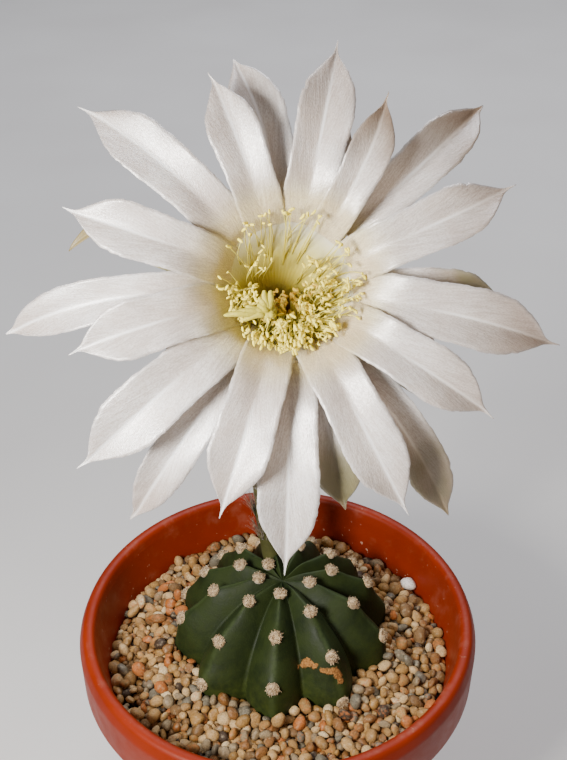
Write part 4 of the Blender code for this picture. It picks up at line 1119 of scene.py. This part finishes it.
INNER_OUTLINE = [
    (0, 0.8), (0.1, 0.84), (0.2, 0.87), (0.3, 0.87), (0.4, 0.88), (0.5, 0.925), (0.6, 0.96), (0.66, 0.95),
    (0.74, 0.825), (0.81, 0.575), (0.87, 0.315), (0.92, 0.105), (0.95, 0.05), (1, 0.012),
]
OUTER_OUTLINE = [
    (0, 0.66), (0.2, 0.8), (0.4, 0.87), (0.6, 0.945), (0.68, 0.95), (0.76, 0.87), (0.84, 0.66), (0.9, 0.4),
    (0.95, 0.15), (1, 0.02),
]
INNER = dict(
    outline=INNER_OUTLINE, root=(15.4, 0.0), run=3.0, tuck=6.0, start=62, open=20, bend=1.0, swing=2
)
MIDDLE = dict(
    outline=INNER_OUTLINE, root=(15.6, -0.5), run=2.6, tuck=6.0, start=59, open=18, bend=0.97, swing=2
)
OUTER = dict(
    outline=OUTER_OUTLINE, root=(17.0, -2.0), run=4.7, tuck=0.0, start=50, open=11.5, bend=0.97, swing=2
)
INNER_PETALS = [
    (INNER, 76.8, 0.8, 52.8, 12.4, 0.0, 4, 0.25), (INNER, 108.7, 1.0, 47.4, 11.4, 0.4, -6, 0.2),
    (INNER, 134.8, 3.8, 59.0, 12.2, -0.5, 4, 0.1), (INNER, 161.3, -0.6, 50.2, 12.0, 0.7, -3),
    (INNER, 195.4, 1.2, 48.6, 12.8, 0.5, 3), (INNER, 219.3, 0.9, 60.0, 13.8, -0.4, -4),
    (INNER, 252.4, 0.0, 51.6, 13.4, 0.8, 5), (MIDDLE, 268.8, -0.5, 63.0, 13.8, -0.9, 0),
    (INNER, 295.8, 0.5, 55.5, 13.1, 0.4, 3), (INNER, 326.6, -0.7, 51.8, 12.4, 0.9, -4, 0.2),
    (INNER, 349.0, -2.7, 60.2, 13.5, -0.3, 2, 0.4), (INNER, 20.3, 2.6, 52.8, 12.2, 0.4, -3, 0.3),
    (INNER, 54.8, 7.2, 45.2, 9.4, 1.0, 4, 0.55),
]
OUTER_PETALS = [
    (OUTER, 96.2, 6.6, 50.8, 12.1, 0.0, 8, 0.1), (OUTER, 182.1, 6.2, 63.3, 10.4, 0.0, 0, 0.0),
    (OUTER, 234.4, 0.6, 62.0, 10.4, 0.0, -6, 0.2), (OUTER, 284.8, -1.9, 50.0, 12.3, 0.0, 0, 1.0),
    (OUTER, 308.8, -4.6, 62.2, 10.9, 0.0, 5, 0.8), (OUTER, -3.1, -2.0, 46.9, 10.8, 0.0, 0, 1.0),
    (OUTER, 40.9, 1.3, 59.7, 11.6, 0.0, -4, 0.55), (OUTER, 121.9, 0.0, 23.6, 9.7, 0.0, 3, 0.5),
    (OUTER, 149.9, 2.0, 25.1, 9.7, 0.0, 0, 0.5), (OUTER, 67.0, 0.0, 35.3, 10.7, 0.0, 0, 0.5),
    (OUTER, 207.9, 0.0, 30.4, 10.7, 0.0, 4, 0.5), (OUTER, 259.0, 0.0, 40.1, 10.7, 0.0, 4, 0.5),
    (OUTER, 337.2, 0.0, 34.2, 10.7, 0.0, -3, 0.5),
]
PETAL_ROWS, PETAL_STEPS = 84, 19
PETAL_THICK = 0.4
PETAL_WHITE = "#E7E5E4"
PETAL_GREY = "#D4CCC7"
PETAL_SHADE = "#A6978E"
# white of the painted highlight along each petal's keel
PETAL_KEEL_HIGHLIGHT = "#FFFFFF"
PETAL_TIP = "#927762"
PETAL_OLIVE = "#66603A"
VEIN_SPACING = 0.34
VEIN_SPREAD = 0.2  # how far the veins run outwards for each millimetre along the petal
VEIN_STRETCH = 0.09  # the pattern is drawn out along the petal by 1 / this
GRAIN_SIZE = 0.2
GRAIN_STRETCH = 0.4
PETALS_APART = 90.0  # shifts the patterns from one petal to the next, so that no two are alike
# Tint of the petals by distance from the axis: a painted glow at the throat, where light shines through them,
# and painted shade a little darker out over their bases, white beyond.
PETAL_BASE_PAINTED_GLOW_AND_SHADE = [
    (0.0, "#FBF1D0"), (0.12, "#F5ECC6"), (0.2, "#F0EAD4"), (0.32, "#ECE7DE"), (0.5, "#EDEAE7"),
    (0.8, "#F6F4F3"), (1.0, "#FFFFFF"),
]


def satin_petal_skin():
    """Satin white petal skin: fine veins that fan out from a pale keel, a white painted highlight along the
    keel, and a grain of swollen cells.

    It is pale yellow at the throat, partly its own colour and partly a painted glow of light shining through
    it, and a little darker out over its base as painted shade. It has a beige tinge towards its tip, and
    olive blotches where it is flushed."""
    made, tree, shader, place = finish(
        "petal_satin", roughness=0.4, specular_ior_level=1.0, coat_weight=0.6, coat_roughness=0.36,
        subsurface_weight=0.5, subsurface_scale=1.0 * MM, subsurface_radius=(1.0, 0.94, 0.84),
    )
    marks = add(tree, "Attribute", [], "Vector", attribute_name="blade")
    across, along, upper = add(tree, "SeparateXYZ", [marks], ["X", "Y", "Z"])
    seat = add(tree, "Attribute", [], "Vector", attribute_name="seat")
    from_axis, flush, own = add(tree, "SeparateXYZ", [seat], ["X", "Y", "Z"])
    shares = add(tree, "Attribute", [], "Vector", attribute_name="share")
    length, width = add(tree, "SeparateXYZ", [shares], ["X", "Y"])
    from_keel = add(tree, "Math", [across], operation="ABSOLUTE")
    # Veins: streaks 0.34 mm apart and about 4 mm long. The cells are 0.05 mm and are drawn at 0.2 mm.
    fanned = add(tree, "Math", [along, VEIN_SPREAD], **TIMES)
    vein_line = add(tree, "Math", [from_keel, fanned], operation="SUBTRACT")
    side = add(tree, "Math", [add(tree, "Math", [across], operation="SIGN"), 3.0], **TIMES)
    apart = add(tree, "Math", [side, add(tree, "Math", [own, PETALS_APART], **TIMES)], operation="ADD")
    streaks = add(tree, "Math", [along, VEIN_STRETCH], **TIMES)
    streaked = add(tree, "CombineXYZ", [vein_line, streaks, apart])
    veins = add(tree, "TexNoise", [streaked, 1 / VEIN_SPACING, 3.0, 0.65])
    cells = add(tree, "Math", [along, GRAIN_STRETCH], **TIMES)
    grained = add(tree, "CombineXYZ", [vein_line, cells, apart])
    grain = add(tree, "TexNoise", [grained, 1 / GRAIN_SIZE, 1.0, 0.5])
    cloud = add(tree, "TexNoise", [place, 1 / 11.0])
    base = add(tree, "ValToRGB", [cloud], stops=[(0.3, PETAL_GREY), (0.6, PETAL_WHITE)])
    for pattern, low, high, most in ((veins, 0.38, 0.66, 0.42), (grain, 0.4, 0.7, 0.45)):
        shade = add(tree, "MapRange", [pattern, low, high, 0.0, most], **SMOOTH)
        base = add(tree, "Mix", [shade, base, PETAL_SHADE], **COLOURS)
    # Painted highlight: a white line down the keel over the outer part of the petal, where the fold catches
    # the light.
    line = add(tree, "MapRange", [from_keel, 0.55, 0.0], **SMOOTH)
    keel = add(tree, "Math", [line, add(tree, "MapRange", [length, 0.3, 0.55], **SMOOTH)], **TIMES)
    base = add(tree, "Mix", [add(tree, "Math", [keel, 0.9], **TIMES), base, PETAL_KEEL_HIGHLIGHT], **COLOURS)
    # Painted glow and shade: pale yellow and lighter at the throat, a little darker out to 38 mm from the
    # axis.
    near = add(tree, "MapRange", [from_axis, 13.5, 38.0], **SMOOTH)
    base = add(tree, "Mix", [1.0, base, add(tree, "ValToRGB", [near], stops=PETAL_BASE_PAINTED_GLOW_AND_SHADE)], **TINTED)
    # Beige tinge: over the outer half, and sooner along the edges, by how flushed the petal is.
    towards_edge = add(tree, "Math", [length, add(tree, "Math", [width, 0.12], **TIMES)], operation="ADD")
    strong = add(tree, "Math", [flush, 1.1], **TIMES)
    tinge = add(tree, "Math", [strong, 0.3], operation="ADD", use_clamp=True)
    tinge = add(tree, "Math", [tinge, add(tree, "MapRange", [towards_edge, 0.42, 0.98], **SMOOTH)], **TIMES)
    base = add(tree, "Mix", [tinge, base, add(tree, "Mix", [1.0, base, PETAL_TIP], **TINTED)], **COLOURS)
    back = add(tree, "MapRange", [upper, 0.4, -0.4, 0.0, 0.7], **SMOOTH)
    tip = add(tree, "MapRange", [length, 0.45, 0.75], **SMOOTH)
    patches = add(tree, "MapRange", [add(tree, "TexNoise", [place, 1 / 7.0]), 0.35, 0.6, 0.6, 1.0], **SMOOTH)
    blotch = add(tree, "Math", [add(tree, "Math", [back, tip], operation="MAXIMUM"), patches], **TIMES)
    flushed = add(tree, "MapRange", [flush, 0.4, 1.0, 0.0, 0.95], **SMOOTH)
    base = add(tree, "Mix", [add(tree, "Math", [blotch, flushed], **TIMES), base, PETAL_OLIVE], **COLOURS)
    rough = add(tree, "MapRange", [grain, 0.3, 0.7, 0.3, 0.44], **SMOOTH)
    dress(tree, shader, base, [(veins, 0.08), (grain, 0.06)], rough)
    return made


petal_satin = satin_petal_skin()
outer_petals = blades("outer_petals", OUTER_PETALS, PETAL_ROWS, PETAL_STEPS, PETAL_THICK, 3, petal_satin)
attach(outer_petals, "root")
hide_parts("petals_outer")
inner_petals = blades("inner_petals", INNER_PETALS, PETAL_ROWS, PETAL_STEPS, PETAL_THICK, 4, petal_satin)
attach(inner_petals, "root")
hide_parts("petals_inner")


# The stamens: thread-thin filaments that grow from the lining of the throat, each with a cream anther.
# One ring stands round the throat, and the rest lie crowded on its lower side.

# The lining's outer face, as (radius, rise), from the mouth downwards.
LINING = [
    (16.7, 0.7), (15.7, -0.6), (14.6, -2.0), (13.3, -3.6), (11.8, -5.4), (10.2, -7.4), (8.5, -9.8),
    (6.8, -12.6), (5.3, -16.0), (4.1, -20.0), (3.2, -27.0),
]
LINING_LEAN = np.array([-2.3, -4.4])  # how far the funnel's middle moves off the axis deep down
LINING_WALL = 0.35
LINING_ROWS = 44
FILAMENT_LINES = 60
THREAD_RADII = (0.13, 0.08)
THREAD_POINTS = 14
# Stamens, as angles round the throat, distances of the anthers from its axis, rises of the feet, rises of
# the anthers, how many, and how far the filament's bend stands above its anther.
STAMEN_GROUPS = [
    ((214, 325), (8.0, 14.6), (-13, -5), (-1.0, 3.8), 190, 2.2),
    ((214, 325), (6.0, 9.0), (-17, -9), (-5.0, -1.0), 46, 1.0),
    ((176, 216), (7.0, 12.8), (-14, -6), (-2.5, 2.6), 48, 1.5),
    ((298, 372), (3.5, 9.8), (-17, -8), (-6.5, -0.5), 52, 1.0),
    ((190, 350), (0.5, 6.2), (-15, -10), (-10.0, -5.0), 64, 0.4),
    ((104, 160), (12.8, 16.0), (-9, -4), (2.8, 6.0), 13, -1.0),
    ((118, 157), (5.6, 10.4), (-15, -9), (-2.0, 2.0), 11, 1.0),
    ((56, 100), (13.8, 16.4), (-10, -5), (4.0, 7.0), 10, -1.2),
    ((25, 42), (13.2, 15.8), (-11, -6), (3.0, 6.0), 7, -1.2),
    ((34, 56), (5.5, 10.6), (-14, -8), (-2.0, 1.5), 8, 1.0),
    ((1, 27), (5.0, 10.6), (-16, -9), (-3.0, 2.0), 22, 1.4),
    ((-28, 16), (11.4, 16.4), (-9, -4), (1.0, 5.0), 30, 1.8),
    ((169, 208), (12.2, 15.2), (-11, -5), (2.0, 5.0), 14, 1.2),
]
THREAD_SIDES = 5
ANTHER_LENGTH = 1.5
ANTHER_RADIUS = 0.33
ANTHER_POINTS, ANTHER_SIDES = 8, 10
STIGMA = np.array([-4.4, -5.6, 0.4])
STIGMA_REACH = np.array([-13.4, -6.6, 2.8])
STIGMA_CLEARANCE = [2.6, 1.9, 1.5, 1.3, 1.2, 1.1]  # from the style's end out to the tip of the longest lobe
FILAMENT_PALE = "#E0D66A"
FILAMENT_GREEN = "#BEB040"
ANTHER_CREAM = "#F6E660"
ANTHER_GOLD = "#ECC456"
POLLEN = "#E8CC4C"
# Lining colours from its bottom (0) to its rim (1): its own yellow-green and gold, drawn light as a painted
# glow, palest at the rim.
LINING_TONES_AND_PAINTED_GLOW = [
    (0.0, "#C2A04A"), (0.15, "#C4A84A"), (0.35, "#C2AA46"), (0.55, "#BEAC42"), (0.72, "#C4B65A"),
    (0.84, "#DACF92"), (0.93, "#EAE3C2"), (1.0, "#FBF1D0"),
]


def polar(angle, radius, rise):
    """Point in the flower's frame from an angle round the throat."""
    return np.stack([radius * np.cos(angle), radius * np.sin(angle), rise + 0 * angle], -1)


def on_lining(angle, rise, clear):
    """Point that stands clear of the lining's inner face at an angle and a rise."""
    r, z = np.array(LINING)[::-1].T
    lean = LINING_LEAN * (1 - np.exp(-np.clip(-rise - 2, 0, None) / 9))[..., None]
    point = polar(angle, np.interp(rise, z, r) - LINING_WALL - clear, rise)
    point[..., :2] += lean
    return point


def throat_lining():
    """Funnel of joined filaments, each a low ridge down its inside."""
    r, z = np.array(LINING).T
    steps = np.r_[0, np.cumsum(np.hypot(np.diff(r), np.diff(z)))]
    fine = np.interp(np.linspace(0, steps[-1], LINING_ROWS), steps, z)
    turn = np.arange(4 * FILAMENT_LINES) * 2 * np.pi / (4 * FILAMENT_LINES)
    rise, around = np.meshgrid(fine[::-1], turn, indexing="ij")
    ridge = 0.04 * np.cos(FILAMENT_LINES * around) * ease((rise + 24) / 10) * ease((-5 - rise) / 4)
    wall = LINING_WALL * np.clip((1.0 - rise) / 1.5, 0.1, 1)
    outer = on_lining(around, rise, -LINING_WALL)
    inner = on_lining(around, rise, wall - LINING_WALL + ridge)[::-1]
    points = np.concatenate([outer, inner])
    marks = np.zeros(points.shape)
    marks[..., 1] = points[..., 2]
    return points, marks


def bezier(a, b, c, d, steps):
    """Curves from a to d with handles b and c, many at once."""
    t = np.linspace(0, 1, steps)[None, :, None]
    early, late = b[:, None] * 3 * t * (1 - t) ** 2, c[:, None] * 3 * t**2 * (1 - t)
    return a[:, None] * (1 - t) ** 3 + early + late + d[:, None] * t**3


def grown_filaments(rng, angles, spread, depths, rises, count, bend):
    """Filaments of one group, from their feet on the wall of the throat to their anthers."""
    angle = np.radians(rng.uniform(*angles, count))
    foot_angle = angle + rng.normal(0, 0.1, count)
    depth = rng.uniform(*depths, count)
    out = np.sqrt(rng.uniform(spread[0] ** 2, spread[1] ** 2, count))
    tip = polar(angle + rng.normal(0, 0.03, count), out, rng.uniform(*rises, count))
    low = on_lining(foot_angle, depth + 4, 0.9)
    loop = bend * rng.uniform(0.4, 1.3, count)
    high = tip + polar(angle, -np.abs(loop) * rng.uniform(0.2, 1.0, count), loop)
    return bezier(on_lining(foot_angle, depth, 0.1), low, high, tip, THREAD_POINTS)


def clear_of_stigma(paths):
    """The paths that keep away from the stigma and its long lobes."""
    guard = STIGMA + (STIGMA_REACH - STIGMA) * np.linspace(0, 1, len(STIGMA_CLEARANCE))[:, None]
    away = np.linalg.norm(paths[:, :, None] - guard, axis=-1).min(1)
    return paths[(away > STIGMA_CLEARANCE).all(1)]


def anther_bodies(paths, rng):
    """Anthers: two-lobed oblong sacs hung by their backs from the filaments' tips."""
    tips = paths[:, -1]
    along = unit(paths[:, -1] - paths[:, -3])
    crowd = np.clip(-tips[:, 1:2] / 8, 0.1, 1)  # on the lower side they hang in a fringe
    nod = unit(rng.normal(0, 1, tips.shape) + crowd * [0.0, -1.9, 0.6])
    aim = unit(along * rng.uniform(-0.2, 1.0, (len(tips), 1)) + nod * rng.uniform(0.5, 1.1, (len(tips), 1)))
    size = rng.uniform(0.75, 1.2, (len(tips), 1))
    steps = np.linspace(-0.5, 0.5, ANTHER_POINTS)
    bow = unit(np.cross(aim, rng.normal(0, 1, aim.shape)))
    line = tips[:, None] + aim[:, None] * (steps[None, :, None] * ANTHER_LENGTH * size[:, None])
    line = line + bow[:, None] * (0.25 * (4 * steps**2))[None, :, None] * size[:, None]
    radii = ANTHER_RADIUS * size * np.sqrt(np.clip(1 - (2 * np.abs(steps)) ** 3.2, 0.03, 1))[None]
    rings = strands(line, radii, ANTHER_SIDES)
    middle = line[:, :, None]
    turn = np.arange(ANTHER_SIDES) * 2 * np.pi / ANTHER_SIDES
    lobes = 1 - 0.22 * np.cos(2 * turn)[None, None, :, None] ** 2
    return middle + (rings - middle) * lobes


def filament_and_anther():
    """Filaments pale cream over green, and anthers powdered with cream and golden pollen."""
    made, tree, shader, place = finish(
        "stamens_pollen_dusted", roughness=0.55, subsurface_weight=0.2, subsurface_scale=0.6 * MM,
        subsurface_radius=(1.0, 0.95, 0.5),
    )
    marks = add(tree, "Attribute", [], "Vector", attribute_name="stamen")
    part, rise, anther = add(tree, "SeparateXYZ", [marks], ["X", "Y", "Z"])
    high = add(tree, "MapRange", [part, 0.1, 0.8], **SMOOTH)
    thread = add(tree, "Mix", [high, FILAMENT_GREEN, FILAMENT_PALE], **COLOURS)
    grain = add(tree, "TexNoise", [place, 1 / 0.28, 2.0, 0.6])
    deep = add(tree, "MapRange", [rise, -1.5, -8.0], **SMOOTH)
    pollen = add(tree, "Mix", [deep, ANTHER_CREAM, ANTHER_GOLD], **COLOURS)
    dusted = add(tree, "MapRange", [grain, 0.4, 0.65, 0.0, 0.25], **SMOOTH)
    pollen = add(tree, "Mix", [dusted, pollen, POLLEN], **COLOURS)
    dress(tree, shader, add(tree, "Mix", [anther, thread, pollen], **COLOURS), [(grain, 0.06)])
    return made


def throat_wall():
    """The lining: yellow-green, and golden towards the bottom, with a painted glow of light shining through
    it:
    palest at the rim, and drawn light even deep down.
    """
    made, tree, shader, place = finish(
        "throat_lining_fleshy", roughness=0.5, subsurface_weight=0.6, subsurface_scale=2.0 * MM,
        subsurface_radius=(1.0, 0.9, 0.4),
    )
    marks = add(tree, "Attribute", [], "Vector", attribute_name="stamen")
    height = add(tree, "MapRange", [add(tree, "SeparateXYZ", [marks], "Y"), -26.0, 0.0])
    base = add(tree, "ValToRGB", [height], stops=LINING_TONES_AND_PAINTED_GLOW)
    dress(tree, shader, base, [(add(tree, "TexNoise", [place, 1 / 0.6]), 0.06)])
    return made


stamen_rng = np.random.default_rng(17)
filaments = clear_of_stigma(np.concatenate([grown_filaments(stamen_rng, *group) for group in STAMEN_GROUPS]))
thread_radii = np.repeat([np.linspace(*THREAD_RADII, THREAD_POINTS)], len(filaments), 0)
threads = strands(filaments, thread_radii, THREAD_SIDES)
thread_marks = np.zeros(threads.shape)
thread_marks[..., 0] = np.linspace(0, 1, THREAD_POINTS)[None, :, None]
anthers = anther_bodies(filaments, stamen_rng)
anther_marks = np.stack([np.ones(anthers.shape[:3]), anthers[..., 2], np.ones(anthers.shape[:3])], -1)
stamen_parts = joined(
    (threads, lofted(threads)[1], thread_marks), (anthers, lofted(anthers)[1], anther_marks)
)
stamens = mesh_piece(
    "stamen_threads_and_anthers", in_bloom(stamen_parts[0]), stamen_parts[1], filament_and_anther(),
    {"stamen": stamen_parts[2]},
)
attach(stamens, "root")
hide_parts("stamens")
lining_points, lining_marks = throat_lining()
lining = mesh_piece(
    "throat_lining", in_bloom(lining_points.reshape(-1, 3)), lofted(lining_points[None])[1], throat_wall(),
    {"stamen": lining_marks.reshape(-1, 3)},
)
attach(lining, "root")
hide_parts("stamens")


# The pistil: one slender style that rises from the ovary through the tube, and ends left of and below the
# throat's middle in ten pale green, velvety stigma lobes, the longest of which lie out to the left.

STYLE_RADIUS = 0.9
STYLE_DEPTH = 122.0
STYLE_TURN_DEPTH = 46.0
STYLE_ROWS = (24, 18)  # points below and above its turn
STYLE_SIDES = 14
LOBE_POINTS = 16
LOBE_SIDES = 12
LOBE_RADII = [(0, 0.85), (0.3, 0.8), (0.8, 0.6), (0.94, 0.46), (1, 0.2)]
STYLE_TURN = np.array([[-2.2, -4.3, -27.0], [-2.4, -4.7, -12.0]])
# Each lobe: its direction from the style's end, its length and how far its tip rises.
STIGMA_LOBES = [
    (82, 4.5, 1.9), (104, 4.6, 2.1), (124, 3.6, 1.6), (145, 3.0, 1.2), (168, 5.2, 0.8), (177, 8.2, 1.1),
    (184, 9.8, 1.5), (196, 5.8, 0.4), (250, 1.8, -0.9), (310, 1.6, -0.6),
]
STIGMA_GREEN = "#ABA22C"
STIGMA_PALE = "#C2B848"
STYLE_GREEN = "#948C30"


def style_path():
    """Points of the style in the flower's frame, from the ovary up to the stigma."""
    depths = np.linspace(STYLE_DEPTH, STYLE_TURN_DEPTH, STYLE_ROWS[0])
    low = (tube_middle(depths)[0] - THROAT) @ BLOOM_TURN
    high = bezier(low[-1:], STYLE_TURN[:1], STYLE_TURN[1:], STIGMA[None], STYLE_ROWS[1])[0]
    return np.r_[low[:-1], high]


def stigma_lobes(rng):
    """Blunt fingers that spread from the style's end."""
    angle, length, rise = np.array(STIGMA_LOBES).T
    out = polar(np.radians(angle), 1.0, 0 * angle)
    size = length[:, None]
    tip = STIGMA + out * size + np.c_[0 * angle, 0 * angle, rise + rng.uniform(-0.2, 0.2, len(angle))]
    start = STIGMA + out * 0.3 + [0, 0, -1.2]
    bow = STIGMA + out * size * 0.25 + [0, 0, 1.3]
    path = bezier(start, bow, (bow + tip) / 2 + [0, 0, 0.5], tip, LOBE_POINTS)
    beat = np.linspace(0, 9, LOBE_POINTS)[None, :, None]
    path = path + 0.12 * np.sin(beat + rng.uniform(0, 6, (len(angle), 1, 3)))
    radii = np.interp(np.linspace(0, 1, LOBE_POINTS), *zip(*LOBE_RADII))
    return strands(path, np.repeat([radii], len(angle), 0), LOBE_SIDES)


def velvety_stigma():
    """Pale green flesh with a velvet of fine papillae, which gives it a soft bright edge."""
    made, tree, shader, place = finish(
        "stigma_velvety", roughness=0.65, sheen_weight=0.12, sheen_roughness=0.4, subsurface_weight=0.25,
        subsurface_scale=0.8 * MM, subsurface_radius=(0.9, 1.0, 0.5),
    )
    marks = add(tree, "Attribute", [], "Vector", attribute_name="pistil")
    tone = add(tree, "TexNoise", [place, 1 / 0.6])
    lobe = add(tree, "ValToRGB", [tone], stops=[(0.35, STIGMA_GREEN), (0.65, STIGMA_PALE)])
    base = add(tree, "Mix", [add(tree, "SeparateXYZ", [marks]), STYLE_GREEN, lobe], **COLOURS)
    dress(tree, shader, base, [(add(tree, "TexNoise", [place, 1 / 0.3, 1.0]), 0.08)])
    return made


style_points = style_path()
style_radii = STYLE_RADIUS * (1 + 0.5 * ease((np.arange(len(style_points)) - len(style_points) + 9) / 8))
style_rings = strands(style_points[None], style_radii[None], STYLE_SIDES)
lobe_rings = stigma_lobes(np.random.default_rng(9))
pistil_parts = joined(
    (style_rings, lofted(style_rings)[1], np.zeros(style_rings.shape)),
    (lobe_rings, lofted(lobe_rings)[1], np.ones(lobe_rings.shape)),
)
pistil = mesh_piece(
    "style_and_stigma", in_bloom(pistil_parts[0]), pistil_parts[1], velvety_stigma(),
    {"pistil": pistil_parts[2]},
)
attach(pistil, "root")
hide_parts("pistil")


# The setting: a plain pale floor, a soft key light from the upper left in front, a weak warm one from the
# right, and one high behind that lights the floor. The camera stands where the photograph was taken, above
# the flower and looking down at the pot.

FLOOR_SIZE = 3000.0
FLOOR_PALE = "#EAE8E4"
FLOOR_SHADE = "#E3E0DC"
# Each light: name, place, aim, size, watts and colour.
LIGHTS = [
    ("key_light", (-149, -212, 320), (0, -40, 220), 75, 2.0, "#FFFBF5"),
    ("fill_light", (130, -250, 340), (0, -50, 245), 120, 0.16, "#FFDCB8"),
    ("back_light", (150, 900, 1600), (0, 450, 0), 900, 26.0, "#F4F6FF"),
]
STUDIO_GREY = "#E8E8EA"
STUDIO_STRENGTH = 0.08
CAMERA_PLACE = (1.9, -252.9, 355.5)
CAMERA_PITCH = 32.93
CAMERA_LENS = 50.0
CAMERA_SENSOR = 36.0
CAMERA_NEAR = 10.0


def matt_floor():
    """Matt painted board with the faintest clouding."""
    made, tree, shader, place = finish("painted_board_matt", roughness=0.85)
    tone = add(tree, "TexNoise", [place, 1 / 160.0])
    dress(tree, shader, add(tree, "ValToRGB", [tone], stops=[(0.3, FLOOR_SHADE), (0.7, FLOOR_PALE)]))
    return made


def soft_light(name, place, aim, size, watts, colour):
    """Adds a square area light that points from its place to its aim."""
    light = bpy.data.lights.new(name, "AREA")
    light.energy = watts
    light.size = size * MM
    light.color = linear(colour)[:3]
    lamp = bpy.data.objects.new(name, light)
    bpy.context.scene.collection.objects.link(lamp)
    lamp.location = Vector(place) * MM
    lamp.rotation_euler = (Vector(aim) - Vector(place)).to_track_quat("-Z", "Y").to_euler()


floor_corners = [(-0.5, -0.5, 0), (0.5, -0.5, 0), (0.5, 0.5, 0), (-0.5, 0.5, 0)]
floor = mesh_piece("floor", np.array(floor_corners) * FLOOR_SIZE, [(0, 1, 2, 3)], matt_floor())
for light in LIGHTS:
    soft_light(*light)
world = bpy.data.worlds.new("studio")
bpy.context.scene.world = world
world.use_nodes = True
studio = world.node_tree.nodes["Background"].inputs
studio["Color"].default_value = linear(STUDIO_GREY)
studio["Strength"].default_value = STUDIO_STRENGTH
camera_data = bpy.data.cameras.new("camera")
camera_data.lens = CAMERA_LENS
camera_data.sensor_width = CAMERA_SENSOR
camera_data.clip_start = CAMERA_NEAR * MM
camera = bpy.data.objects.new("camera", camera_data)
bpy.context.scene.collection.objects.link(camera)
camera.location = Vector(CAMERA_PLACE) * MM
camera.rotation_euler = (math.radians(90 - CAMERA_PITCH), 0, 0)
bpy.context.scene.camera = camera
